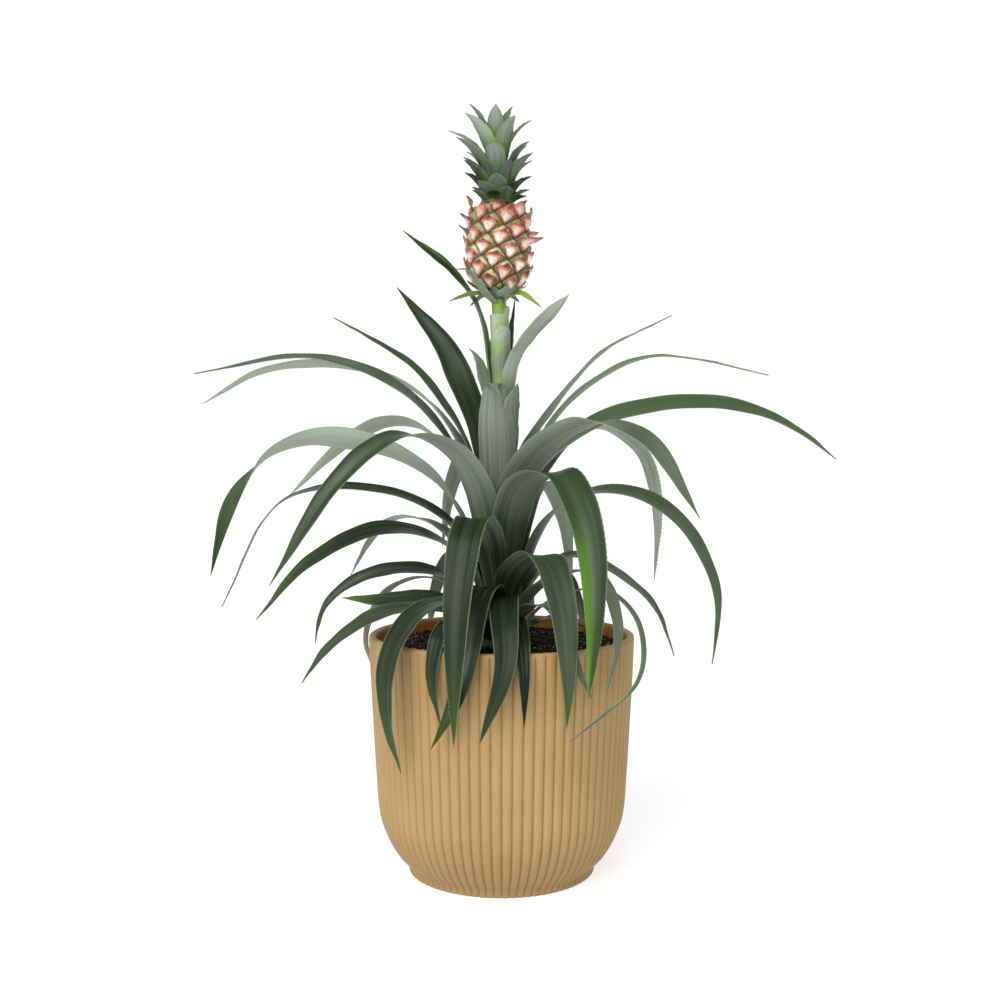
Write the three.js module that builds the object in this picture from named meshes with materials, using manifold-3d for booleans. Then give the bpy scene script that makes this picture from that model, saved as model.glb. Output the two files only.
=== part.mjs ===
// A potted pineapple plant: a ribbed plastic pot, soil, a stem with its rosette of arching leaves,
// and a small fruit with its crown. Millimetres, +Z up, origin at the centre of the pot's base.
// The viewer stands at -Y. An azimuth is counted in degrees from +X towards +Y, so 270 faces the viewer.

import * as THREE from 'three';
import { mergeVertices } from 'three/addons/utils/BufferGeometryUtils.js';
import Module from 'manifold-3d';

const wasm = await Module();
wasm.setup();

// Fit between pieces that touch on the real plant
const SEAT_GAP = 0.3;

// Pot
const POT_HEIGHT = 124;
const RIM_RADIUS = 69.5;
const RIM_WIDTH = 4;
const RIM_ROUND = 1.6;
const RIB_COUNT = 80;
const POINTS_PER_RIB = 3;
const RIB_DEPTH = 1.1;
const POT_FLOOR = 3.5;
const INNER_SIDES = 40;
const BASE_SIDES = 15;
const BASE_FIELD_RADIUS = 20;

// The pot's outside from its base to just under the rim, and its inside from there to the floor, each as
// [radius, height]
const POT_OUTSIDE = [
  [48.8, 0], [48.8, 2.8], [50.4, 5], [54.2, 8.8], [57.8, 14.2],
  [60.9, 20.5], [64, 30], [67.4, 79], [69.3, 118],
];
const POT_INSIDE = [[65.2, 118], [63.2, 79], [60, 30], [52, 14], [43, POT_FLOOR]];

// Soil: almost level, a few millimetres below the rim
const SOIL_HEIGHT = 117.6;
const SOIL_RADIUS = 64.5;
const SOIL_MOUND_HEIGHT = 118;
const SOIL_SIDES = 32;
const SOIL_HOLE_DEPTH = 24;
const SOIL_WALL_GAP = 0.6;
const HOLE_GAP = 0.4;

// Stem, as [radius, height]: its foot stands in the soil's hole, it carries the leaves, and it narrows to
// the stalk, whose pale sheath ends in a step below the fruit. Above its bend the stalk leans to the left.
const STEM_SIDES = 16;
const STEM_FOOT_RADIUS = 11;
const STALK_BEND = 256;
const STALK_TOP = 301.5;
const STALK_LEAN = 0.034;
const STEM_OUTLINE = [
  [STEM_FOOT_RADIUS, SOIL_MOUND_HEIGHT], [12.5, 120], [9.5, 165], [6.4, 214], [4.9, 240], [4.9, STALK_BEND],
  [5, 289.5], [3.9, 290.5], [3.9, 296.5], [6.8, STALK_TOP],
];
const FRUIT_SHIFT = -STALK_LEAN * (STALK_TOP - STALK_BEND);

// Small bracts round the stalk, just under the fruit, their feet sunk into it
const BRACT_SINK = 1;
const BRACT_STATIONS = 4;
const COLLAR = [
  { azimuth: 205, root: 297, path: [[12, 301], [28, 296]], width: 6 },
  { azimuth: 235, root: 296, path: [[13, 300.5], [20, 306.3], [26.5, 310.3], [36, 309.5]], width: 8 },
  { azimuth: 335, root: 297, path: [[12, 300], [24, 293]], width: 6 },
  { azimuth: 60, root: 297, path: [[11, 301], [22, 299]], width: 6 },
  { azimuth: 130, root: 297, path: [[11, 301], [24, 297]], width: 6 },
];

// Fruit: a barrel of small raised fruitlets, each drawn out to a point. They follow one spiral, a golden
// angle apart, and those that touch are SHALLOW and STEEP steps on.
const FRUIT_BASE = STALK_TOP + SEAT_GAP;
const FRUIT_HEIGHT = 45;
const FRUIT_RADIUS = 14.8;
const FRUIT_SQUARENESS = { below: 3, above: 4.2 };
const FRUIT_END = 0.03;
const FRUIT_TURN = -5;
const FRUITLET_COUNT = 54;
const SHALLOW = 5;
const STEEP = 8;
const ROUND = SHALLOW + STEEP;
const FRUITLET_RISE = 2.1;
const FIELD_SIZE = 0.62;
const POINT_LEAN = 2.2;
const POINT_RISE = 3.8;
const TOP_POINT_RISE = 5.4;
const GOLDEN_ANGLE = 180 * (3 - Math.sqrt(5));

// Crown on the fruit: a core, as [radius, height], and short leaves that hide it. A leaf's foot stands on
// the core at the height root. Its tip is given by its reach from the core's axis, its height over the
// crown's foot and how far it stands aside, to the left of who looks out along the leaf.
const CROWN_BASE = FRUIT_BASE + FRUIT_HEIGHT + SEAT_GAP;
const CROWN_CORE = [[8.2, 0], [8.6, 6], [7.4, 15], [5.6, 24], [2.2, 36]];
const CROWN_SIDES = 10;
const CROWN_LEAN = 0.035;
const CROWN_LEAF_WIDTH = 9.5;
const CROWN_LEAF_STATIONS = 3;
const CROWN_BEND = { outwards: 0.3, upwards: 0.7 };
const CROWN_CLASP = 0.5;
const CROWN_LEAVES = [
  { azimuth: 275, root: 31, reach: 3.5, height: 50.5 },
  { azimuth: 95, root: 31, reach: 3, height: 51.5 },
  { azimuth: 188, root: 29, reach: 13.5, height: 51 },
  { azimuth: 38, root: 29, reach: 11.5, height: 52 },
  { azimuth: 232, root: 25, reach: 15, height: 45, aside: -8 },
  { azimuth: 305, root: 24, reach: 10.5, height: 44, aside: 5, width: 10.5 },
  { azimuth: 5, root: 25, reach: 18.5, height: 43.5, width: 8 },
  { azimuth: 172, root: 22, reach: 25, height: 38.5, width: 8 },
  { azimuth: 130, root: 24, reach: 13, height: 44 },
  { azimuth: 75, root: 22, reach: 15, height: 39 },
  { azimuth: 262, root: 15.5, reach: 9.5, height: 29.5, width: 11, taper: 6 },
  { azimuth: 207, root: 15, reach: 22, height: 32.5, aside: -2, width: 10.5 },
  { azimuth: 342, root: 15, reach: 17.5, height: 31, width: 10 },
  { azimuth: 105, root: 15, reach: 17, height: 31 },
  { azimuth: 150, root: 14, reach: 18, height: 29 },
  { azimuth: 28, root: 15, reach: 18, height: 32 },
  { azimuth: 330, root: 9, reach: 21, height: 24, width: 10.5 },
  { azimuth: 15, root: 10, reach: 19, height: 23.5, width: 8 },
  { azimuth: 188, root: 10, reach: 17.5, height: 23.5 },
  { azimuth: 215, root: 7.5, reach: 20.5, height: 20, width: 10 },
  { azimuth: 240, root: 9, reach: 13, height: 21, width: 10 },
  { azimuth: 298, root: 8, reach: 15, height: 20, width: 11 },
  { azimuth: 125, root: 9, reach: 18, height: 22 },
  { azimuth: 65, root: 9, reach: 18, height: 22 },
  { azimuth: 355, root: 5, reach: 17.5, height: 14 },
  { azimuth: 200, root: 4.5, reach: 18, height: 15 },
  { azimuth: 268, root: 4, reach: 14.5, height: 13, width: 11 },
  { azimuth: 318, root: 3.5, reach: 16, height: 10, width: 10 },
  { azimuth: 232, root: 3, reach: 16, height: 9.5, width: 10 },
  { azimuth: 10, root: 2, reach: 16.5, height: 8 },
  { azimuth: 175, root: 2, reach: 13.5, height: 9 },
  { azimuth: 290, root: 0.8, reach: 15.5, height: 6.5, width: 10 },
  { azimuth: 205, root: 0.8, reach: 14.5, height: 6, width: 10 },
  { azimuth: 255, root: 0.8, reach: 14.5, height: 4.5 },
  { azimuth: 345, root: 0.8, reach: 15, height: 3.5 },
  { azimuth: 50, root: 2, reach: 17, height: 9 },
  { azimuth: 90, root: 2, reach: 17, height: 8 },
  { azimuth: 135, root: 2, reach: 17, height: 10 },
];

// Blades
const BLADE_THICKNESS = 0.8;
const CHANNEL = 0.16;
const CLASP_START = 13;
const CLASP_END = 36;
const LEAF_STATIONS = 12;
const LEAF_ROOT_WIDTH = 0.6;
const LEAF_FULL_AT = 0.2;
const LEAF_TAPER = 2.6;

// The leaves, from the top of the stem downwards. root is the height of the leaf's foot on the stem,
// and path goes on from there as [reach, height, sideways], each measured in the leaf's own upright
// plane. roll turns the blade about its middle line, in degrees halfway along and at the tip, and a
// higher taper keeps the blade broad for longer.
const LEAVES = [
  { azimuth: 165, root: 252, path: [[12, 291], [25, 312], [54, 336]], width: 10, roll: [-45, -60] },
  { azimuth: 62, root: 247, path: [[8, 268], [11, 284], [15, 299]], width: 5 },
  {
    azimuth: 325, root: 240, width: 14, taper: 3, roll: [-50, -55],
    path: [[7.5, 258], [10.8, 269], [19, 279.5], [28.5, 288], [41.5, 298]],
  },
  { azimuth: 132, root: 236, path: [[14, 258], [20, 270], [26, 274]], width: 8 },
  { azimuth: 320, root: 210, path: [[9.5, 228], [11, 242], [15, 254]], width: 13, taper: 4 },
  {
    azimuth: 262, root: 172, width: 22, taper: 6,
    path: [[11.5, 198], [12.5, 225], [14.5, 246], [18.5, 255], [23, 252, 1], [25, 245, 4]],
  },
  {
    azimuth: 135, root: 196, width: 18, roll: [-30, -20],
    path: [[19, 233], [30, 255], [42, 274], [84, 312]],
  },
  {
    azimuth: 38, root: 192, width: 11, roll: [-10, 0],
    path: [[16, 221], [31, 238], [49, 256], [71, 274], [126, 298]],
  },
  {
    azimuth: 172, root: 190, width: 12, roll: [-25, -35],
    path: [[20, 226], [41, 258], [55, 270], [90, 290]],
  },
  {
    azimuth: 8, root: 181, width: 14, roll: [10, 10],
    path: [[16, 213], [37, 246], [74, 268], [98, 269], [145, 260]],
  },
  { azimuth: 84, root: 178, path: [[14, 208], [28, 226], [58, 238], [92, 222], [112, 190]], width: 17 },
  {
    azimuth: 160, root: 178, width: 15, roll: [20, 25],
    path: [[16, 206], [34, 238], [58, 256], [97, 266], [142, 264], [182, 246]],
  },
  {
    azimuth: 0, root: 175, width: 20, roll: [30, 40],
    path: [[18, 205], [46, 232], [82, 243], [122, 243], [152, 232], [175, 215]],
  },
  {
    azimuth: 184, root: 173, width: 16, roll: [-25, -30],
    path: [[17, 202], [32, 231], [58, 255], [99, 268], [158, 259]],
  },
  {
    azimuth: 287, root: 165.5, width: 20, roll: [0, 5],
    path: [
      [17, 190, -1], [22, 205, 2], [30, 216, 7], [43, 228, 18],
      [56, 233.5, 33], [81, 223, 49], [104, 189, 63],
    ],
  },
  {
    azimuth: 148, root: 158, width: 17, roll: [25, 20],
    path: [[15, 187], [34, 220], [64, 235], [98, 227], [148, 192]],
  },
  {
    azimuth: 40, root: 162, width: 18,
    path: [[16, 190], [40, 221], [72, 232], [109, 214], [119, 180], [117, 143]],
  },
  {
    azimuth: 233, root: 158, width: 20, roll: [-5, -15],
    path: [
      [16, 178, 2], [22.5, 197, 2.5], [29.5, 211, 0.5], [40, 222, -6],
      [60, 227, -18], [89, 207, -30], [123, 157, -43],
    ],
  },
  { azimuth: 108, root: 150, path: [[16, 176], [34, 203], [64, 214], [96, 198], [118, 160]], width: 17 },
  {
    azimuth: 170, root: 153, width: 18, roll: [50, -60],
    path: [[22, 186], [44, 211], [82, 225], [121, 221], [150, 190], [162, 150]],
  },
  {
    azimuth: 282, root: 154, width: 21,
    path: [
      [19.5, 180, 0.5], [27, 197, 2.5], [40.5, 207, 9], [57, 207.5, 18],
      [77, 181, 25], [82, 140, 26.5], [78, 103, 25],
    ],
  },
  { azimuth: 66, root: 142, path: [[16, 165], [36, 194], [64, 201], [92, 176], [104, 134]], width: 17 },
  {
    azimuth: 340, root: 144, width: 19.5, roll: [15, 20],
    path: [[17.5, 168.5], [34, 192], [64, 199], [94, 185], [113, 148], [111, 114]],
  },
  {
    azimuth: 168, root: 147, width: 13, roll: [-25, 0],
    path: [[18.6, 170], [44, 192], [88, 200], [125, 190], [158, 133]],
  },
  {
    azimuth: 254, root: 146, width: 19,
    path: [[20, 166], [38, 183], [54, 186], [72, 159], [79, 125], [81, 82]],
  },
  { azimuth: 92, root: 137, path: [[17, 157], [36, 180], [60, 181], [84, 156], [92, 122]], width: 16 },
  {
    azimuth: 200, root: 142, width: 17, roll: [-25, -30],
    path: [[18, 160], [38, 175], [64, 180], [101, 165], [128, 137]],
  },
  {
    azimuth: 142, root: 139, width: 14, roll: [10, 0],
    path: [[17, 159], [50, 180], [76, 181], [95, 168], [111, 147]],
  },
  {
    azimuth: 280, root: 138, width: 18,
    path: [
      [18.5, 150], [28, 160, 2.5], [40, 167, 8], [51, 168, 13],
      [68, 147, 17], [75, 112, 18.5], [74, 89, 18],
    ],
  },
  { azimuth: 119, root: 131, path: [[17, 148], [36, 164], [60, 158], [80, 136], [88, 110]], width: 15 },
  {
    azimuth: 351, root: 134, width: 13, roll: [15, 20],
    path: [[17, 152], [35, 165], [56, 159], [80, 139], [90, 114]],
  },
  {
    azimuth: 190, root: 134, width: 15, roll: [-25, -25],
    path: [[17, 147], [38, 157], [69, 156], [92, 140], [97, 121]],
  },
  { azimuth: 55, root: 131, path: [[17, 144], [38, 156], [60, 150], [80, 126], [84, 104]], width: 14 },
  {
    azimuth: 257, root: 134, width: 17,
    path: [[18, 144], [38, 152], [58, 146], [74, 122], [76, 100, -6], [76, 79, -17]],
  },
  {
    azimuth: 155, root: 130, width: 10, roll: [10, 10],
    path: [[17, 140], [42, 151], [68, 143], [83, 117], [75, 92]],
  },
  { azimuth: 271, root: 130, path: [[18, 140], [38, 147], [58, 141], [74, 118], [77, 83, -12]], width: 16 },
  { azimuth: 78, root: 127, path: [[17, 138], [38, 148], [58, 143], [76, 124], [79, 100]], width: 14 },
  {
    azimuth: 228, root: 128, width: 18,
    path: [[24, 141], [46, 144], [66, 138], [81, 118], [82, 92], [73, 64]],
  },
  { azimuth: 314, root: 129, path: [[18, 143], [40, 156], [66, 160], [80, 134], [73, 102]], width: 13 },
  { azimuth: 243, root: 122, path: [[18, 130], [45, 137], [66, 131], [73, 112], [75, 90, 6]], width: 12 },
  {
    azimuth: 173, root: 127, width: 14, roll: [-40, -60],
    path: [[17, 134], [40, 141], [64, 140], [86, 141]],
  },
  {
    azimuth: 328, root: 123, width: 9,
    path: [[18, 134], [42, 148], [64, 150], [80, 130, 2], [82, 108, -6], [78, 97, -30], [74, 88, -60]],
  },
  {
    azimuth: 205, root: 124, width: 14, roll: [-20, -25],
    path: [[18, 131], [40, 139], [70, 137], [96, 121], [108, 106]],
  },
  { azimuth: 298, root: 125, path: [[18, 135], [40, 143], [58, 141], [73, 120], [76, 102, 8]], width: 13 },
  { azimuth: 278, root: 120, path: [[16, 127], [40, 137], [60, 134], [74.5, 115], [75, 90]], width: 11 },
  { azimuth: 25, root: 123, path: [[16, 127], [34, 130], [56, 121]], width: 9 },
];

// Turns degrees into radians.
function radians(degrees) {
  return THREE.MathUtils.degToRad(degrees);
}

// Gathers points and triangles into a geometry.
function solidGeometry(points, indices) {
  const geometry = new THREE.BufferGeometry();
  geometry.setFromPoints(points);
  geometry.setIndex(indices);
  geometry.computeVertexNormals();
  return geometry;
}

// Makes a body from level rings, with a flat cap at each end.
function stacked(rings) {
  const indices = [];
  let start = 0;
  for (let i = 0; i + 1 < rings.length; i += 1) {
    joinRings(indices, start, rings[i].length, start + rings[i].length, rings[i + 1].length);
    start += rings[i].length;
  }
  for (let k = 1; k + 1 < rings[0].length; k += 1) indices.push(0, k + 1, k);
  for (let k = 1; k + 1 < rings.at(-1).length; k += 1) indices.push(start, start + k, start + k + 1);
  return solidGeometry(rings.flat(), indices);
}

// Joins two rings whose point counts are equal, or one a whole multiple of the other.
function joinRings(indices, startA, countA, startB, countB) {
  const steps = Math.max(countA, countB);
  for (let k = 0; k < steps; k += 1) {
    const a = startA + Math.floor(k * countA / steps);
    const b = startB + Math.floor(k * countB / steps);
    const nextA = startA + Math.floor((k + 1) * countA / steps) % countA;
    const nextB = startB + Math.floor((k + 1) * countB / steps) % countB;
    if (a !== nextA) indices.push(a, nextA, b);
    if (b !== nextB) indices.push(nextA, nextB, b);
  }
}

// A ring of points about the Z axis at one height.
function levelRing(count, height, radiusAt) {
  return Array.from({ length: count }, (_, k) => {
    const angle = k / count * 2 * Math.PI;
    const radius = radiusAt(k);
    return new THREE.Vector3(radius * Math.cos(angle), radius * Math.sin(angle), height);
  });
}

// A solid of revolution from [radius, height] points that start and end on the axis.
function turned(profile, sides) {
  const points = profile.map(([radius, height]) => new THREE.Vector2(radius, height));
  const geometry = new THREE.LatheGeometry(points, sides);
  geometry.rotateX(Math.PI / 2);
  return geometry;
}

// Turns a closed geometry into a solid that can be joined to others.
function toSolid(geometry) {
  const bare = geometry.clone();
  bare.deleteAttribute('normal');
  bare.deleteAttribute('uv');
  const merged = mergeVertices(bare);
  return new wasm.Manifold(new wasm.Mesh({
    numProp: 3,
    vertProperties: Float32Array.from(merged.attributes.position.array),
    triVerts: Uint32Array.from(merged.index.array),
  }));
}

// Joins closed geometries into one.
function joined(geometries) {
  const mesh = geometries.map(toSolid).reduce((whole, next) => whole.add(next)).getMesh();
  const geometry = new THREE.BufferGeometry();
  geometry.setAttribute('position', new THREE.Float32BufferAttribute(mesh.vertProperties, 3));
  geometry.setIndex(Array.from(mesh.triVerts));
  geometry.computeVertexNormals();
  return geometry;
}

// Names a geometry and gives it its own finish.
function piece(name, geometry, color, roughness) {
  const mesh = new THREE.Mesh(geometry, new THREE.MeshStandardMaterial({ color, roughness, metalness: 0 }));
  mesh.name = name;
  return mesh;
}

// Where a point of the rib pattern stands: a groove between two flat-topped ribs, every third point.
function ribbed(radius, depth) {
  return (k) => (k % POINTS_PER_RIB === 0 ? radius - depth : radius);
}

// The pot is one ribbed wall with a plain rim, an open inside and a closed base.
function makePot() {
  const count = RIB_COUNT * POINTS_PER_RIB;
  const rings = [levelRing(BASE_SIDES, 0, () => BASE_FIELD_RADIUS)];
  for (const [radius, height] of POT_OUTSIDE) {
    const depth = height > 0 ? RIB_DEPTH : RIB_DEPTH / 2;
    rings.push(levelRing(count, height, ribbed(radius, depth)));
  }
  rings.push(levelRing(RIB_COUNT, POT_HEIGHT - RIM_ROUND, () => RIM_RADIUS));
  rings.push(levelRing(RIB_COUNT, POT_HEIGHT, () => RIM_RADIUS - RIM_ROUND));
  rings.push(levelRing(RIB_COUNT, POT_HEIGHT, () => RIM_RADIUS - RIM_WIDTH + 1));
  for (const [radius, height] of POT_INSIDE) rings.push(levelRing(INNER_SIDES, height, () => radius));
  return piece('pot', stacked(rings), 0xcfae76, 0.55);
}

// The soil fills the pot to below its rim, with a plain hole for the stem.
function makeSoil() {
  const holeRadius = STEM_FOOT_RADIUS + HOLE_GAP;
  const holeFloor = SOIL_MOUND_HEIGHT - SOIL_HOLE_DEPTH;
  const wall = POT_INSIDE.filter(([, height]) => height < SOIL_HEIGHT).map(([radius, height]) => {
    const floorGap = height > POT_FLOOR ? 0 : SEAT_GAP;
    return [radius - SOIL_WALL_GAP, height + floorGap];
  });
  const hole = [[0, holeFloor], [holeRadius, holeFloor], [holeRadius, SOIL_MOUND_HEIGHT]];
  const profile = [...hole, [SOIL_RADIUS, SOIL_HEIGHT], ...wall, [0, POT_FLOOR + SEAT_GAP]];
  return piece('soil', turned(profile.reverse(), SOIL_SIDES), 0x241c17, 1);
}

// The radius of an outline of [radius, height] points at a height.
function radiusAt(outline, height) {
  const upper = outline.findIndex(([, top]) => top >= height);
  const [lowRadius, low] = outline[upper - 1];
  const [highRadius, high] = outline[upper];
  return THREE.MathUtils.mapLinear(height, low, high, lowRadius, highRadius);
}

// One cross-section of a blade: each margin and the middle line, on the lower and the upper face, in
// order round the section. Near the stem the section bends round it, and further out it is a shallow V.
function bladeSection(centre, tangent, halfWidth, roll, clasp) {
  const across = new THREE.Vector3(0, 1, 0).addScaledVector(tangent, -tangent.y).normalize();
  across.applyAxisAngle(tangent, roll);
  const upward = new THREE.Vector3().crossVectors(tangent, across);
  const axis = new THREE.Vector3(0, 0, 1);
  const [left, middle, right] = [1, 0, -1].map((side) => {
    const offset = side * halfWidth;
    const flat = centre.clone().addScaledVector(across, offset);
    flat.addScaledVector(upward, Math.abs(offset) * CHANNEL);
    const turn = (centre.y + offset) / centre.x;
    const bent = new THREE.Vector3(centre.x * Math.cos(turn), centre.x * Math.sin(turn), centre.z);
    const place = flat.lerp(bent, clasp);
    const half = upward.clone().applyAxisAngle(axis, turn * clasp).multiplyScalar(BLADE_THICKNESS / 2);
    return { lower: place.clone().sub(half), upper: place.clone().add(half) };
  });
  return [left.lower, left.upper, middle.upper, right.upper, right.lower, middle.lower];
}

// A blade from its sections and the point at its tip. Both faces are split into triangles alike, with
// every diagonal running from the middle line out to a margin.
function bladeGeometry(sections, tip) {
  const count = sections[0].length;
  const middles = [2, 5];
  const indices = [0, 2, 1, 0, 5, 2, 5, 3, 2, 5, 4, 3];
  for (let i = 0; i + 1 < sections.length; i += 1) {
    for (let k = 0; k < count; k += 1) {
      const a = i * count + k;
      const b = i * count + (k + 1) % count;
      if (middles.includes(k)) indices.push(a, b, b + count, a, b + count, a + count);
      else indices.push(a, b, a + count, b, b + count, a + count);
    }
  }
  const last = (sections.length - 1) * count;
  for (let k = 0; k < count; k += 1) indices.push(last + k, last + (k + 1) % count, last + count);
  return solidGeometry([...sections.flat(), tip], indices);
}

// A leaf whose foot stands on the stem and whose middle line goes on through its path.
function leafGeometry({ root, path, width, roll = [0, 0], taper = LEAF_TAPER, stations = LEAF_STATIONS }) {
  const seat = radiusAt(STEM_OUTLINE, root) + SEAT_GAP + BLADE_THICKNESS / 2;
  const rootHalf = width * LEAF_ROOT_WIDTH / 2;
  const foot = new THREE.Vector3(seat / Math.cos(rootHalf / seat / 2), 0, root);
  const points = path.map(([reach, height, sideways = 0]) => new THREE.Vector3(reach, sideways, height));
  const curve = new THREE.CatmullRomCurve3([foot, ...points], false, 'centripetal');
  const sections = [];
  let furthest = 0;
  for (let i = 0; i < stations; i += 1) {
    const along = i / stations;
    const centre = curve.getPointAt(along);
    furthest = Math.max(furthest, centre.x);
    const clasp = 1 - THREE.MathUtils.smoothstep(furthest, CLASP_START, CLASP_END);
    const widening = THREE.MathUtils.smoothstep(along, 0, LEAF_FULL_AT);
    const fullness = THREE.MathUtils.lerp(LEAF_ROOT_WIDTH, 1, widening) * (1 - along ** taper);
    const turn = along < 0.5 ? roll[0] * along * 2 : THREE.MathUtils.lerp(roll[0], roll[1], along * 2 - 1);
    const half = width / 2 * fullness;
    sections.push(bladeSection(centre, curve.getTangentAt(along), half, radians(turn), clasp));
  }
  return bladeGeometry(sections, curve.getPointAt(1));
}

// A leaf as a piece of its own.
function makeLeaf(leaf, index) {
  const name = `leaf_${String(index + 1).padStart(2, '0')}`;
  const mesh = piece(name, leafGeometry(leaf), 0x4a6b4c, 0.5);
  mesh.rotation.z = radians(leaf.azimuth);
  return mesh;
}

// The stem with its stalk, and the small bracts under the fruit grown onto it.
function makeStem() {
  const foot = SOIL_MOUND_HEIGHT - SOIL_HOLE_DEPTH + SEAT_GAP;
  const profile = [[0, foot], [STEM_FOOT_RADIUS, foot], ...STEM_OUTLINE, [0, STALK_TOP]];
  const bracts = COLLAR.map((bract) => {
    const geometry = leafGeometry({ ...bract, stations: BRACT_STATIONS });
    geometry.translate(-BRACT_SINK, 0, 0);
    geometry.rotateZ(radians(bract.azimuth));
    return geometry;
  });
  const geometry = joined([turned(profile, STEM_SIDES), ...bracts]);
  const place = geometry.attributes.position;
  for (let k = 0; k < place.count; k += 1) {
    const above = Math.max(0, place.getZ(k) - STALK_BEND);
    place.setX(k, place.getX(k) - STALK_LEAN * above);
  }
  return piece('stem', geometry, 0x8fa882, 0.55);
}

// The fruit's radius at a fraction of its height.
function fruitRadius(fraction) {
  const fromMiddle = Math.abs(fraction * 2 - 1);
  const squareness = fraction < 0.5 ? FRUIT_SQUARENESS.below : FRUIT_SQUARENESS.above;
  return FRUIT_RADIUS * (1 - fromMiddle ** squareness) ** (1 / squareness);
}

// A point on the fruit, raised from its surface. step counts the fruitlets up the spiral.
function fruitPoint(step, degrees, raised) {
  const fraction = THREE.MathUtils.clamp((step + 0.5) / FRUITLET_COUNT, FRUIT_END, 1 - FRUIT_END);
  const radius = fruitRadius(fraction) + raised;
  const angle = radians(degrees);
  const height = FRUIT_BASE + FRUIT_HEIGHT * fraction;
  return new THREE.Vector3(radius * Math.cos(angle), radius * Math.sin(angle), height);
}

// The fruit is one closed skin. Each fruitlet is a diamond that shares its four corners, down in the
// grooves, with the fruitlets it touches. It rises to a field of its own and is drawn out to a point that
// leans upwards.
function makeFruit() {
  const turnTo = { shallow: 720 - SHALLOW * GOLDEN_ANGLE, steep: 1080 - STEEP * GOLDEN_ANGLE };
  const points = [];
  const indices = [];
  for (let corner = 0; corner < FRUITLET_COUNT + ROUND; corner += 1) {
    const step = corner - ROUND / 2;
    points.push(fruitPoint(step, 180 - step * GOLDEN_ANGLE, 0));
  }
  for (let step = 0; step < FRUITLET_COUNT; step += 1) {
    const degrees = -step * GOLDEN_ANGLE;
    const start = points.length;
    for (const [shallow, steep] of [[-1, -1], [1, -1], [1, 1], [-1, 1]]) {
      const rise = FIELD_SIZE * (shallow * SHALLOW + steep * STEEP) / 2;
      const turn = FIELD_SIZE * (shallow * turnTo.shallow + steep * turnTo.steep) / 2;
      points.push(fruitPoint(step + rise, degrees + turn, FRUITLET_RISE));
    }
    const pointRise = step < FRUITLET_COUNT - STEEP ? POINT_RISE : TOP_POINT_RISE;
    points.push(fruitPoint(step + POINT_LEAN, degrees, pointRise));
    const corners = [step, step + SHALLOW, step + ROUND, step + STEEP];
    for (let k = 0; k < 4; k += 1) {
      const next = (k + 1) % 4;
      indices.push(corners[k], corners[next], start + k, corners[next], start + next, start + k);
      indices.push(start + k, start + next, start + 4);
    }
  }
  const ends = [
    { first: 0, height: FRUIT_BASE },
    { first: FRUITLET_COUNT, height: FRUIT_BASE + FRUIT_HEIGHT },
  ];
  for (const { first, height } of ends) {
    points.push(new THREE.Vector3(0, 0, height));
    for (let k = 0; k < ROUND; k += 1) {
      const edge = [first + k * SHALLOW % ROUND, first + (k + 1) * SHALLOW % ROUND];
      if (first === 0) edge.reverse();
      indices.push(...edge, points.length - 1);
    }
  }
  const fruit = piece('fruit', solidGeometry(points, indices), 0xc98a72, 0.6);
  fruit.position.x = FRUIT_SHIFT;
  fruit.rotation.z = radians(FRUIT_TURN);
  return fruit;
}

// A short leaf of the crown. It rises steeply from the core, then bends outwards to its tip.
function crownLeaf(leaf) {
  const { azimuth, root, reach, height, aside = 0 } = leaf;
  const { width = CROWN_LEAF_WIDTH, taper = LEAF_TAPER } = leaf;
  const foot = new THREE.Vector3(radiusAt(CROWN_CORE, root), 0, root);
  const tip = new THREE.Vector3(reach, aside, height);
  const bend = foot.clone().lerp(tip, CROWN_BEND.outwards);
  bend.z = THREE.MathUtils.lerp(foot.z, tip.z, CROWN_BEND.upwards);
  const curve = new THREE.QuadraticBezierCurve3(foot, bend, tip);
  const sections = Array.from({ length: CROWN_LEAF_STATIONS }, (_, k) => {
    const along = k / CROWN_LEAF_STATIONS;
    const half = width / 2 * (1 - along ** taper);
    const clasp = CROWN_CLASP * (1 - along);
    return bladeSection(curve.getPointAt(along), curve.getTangentAt(along), half, 0, clasp);
  });
  const geometry = bladeGeometry(sections, tip);
  geometry.rotateZ(radians(azimuth));
  return geometry;
}

// The crown is one body: short leaves on a slim core, leaning a little to the left.
function makeCrown() {
  const profile = [[0, 0], ...CROWN_CORE, [0, CROWN_CORE.at(-1)[1]]];
  const geometry = joined([turned(profile, CROWN_SIDES), ...CROWN_LEAVES.map(crownLeaf)]);
  geometry.applyMatrix4(new THREE.Matrix4().makeShear(0, 0, 0, 0, -CROWN_LEAN, 0));
  const crown = piece('crown', geometry, 0x7f9478, 0.6);
  crown.position.set(FRUIT_SHIFT, 0, CROWN_BASE);
  return crown;
}

const plant = new THREE.Group();
plant.add(makePot(), makeSoil(), makeStem(), makeFruit(), makeCrown(), ...LEAVES.map(makeLeaf));

export default plant;
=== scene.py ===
"""Looks of the potted pineapple plant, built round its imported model.

The camera stands at the photograph's viewpoint. The pieces are in metres, +Z up, and the viewer stands at
-Y. The sizes named below are in mm where nothing else is said.
"""

import logging
import math
import random
from collections.abc import Sequence
from dataclasses import dataclass, field
from enum import Enum

import bmesh
import bpy
import numpy as np
from mathutils import Matrix, Vector, noise


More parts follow.
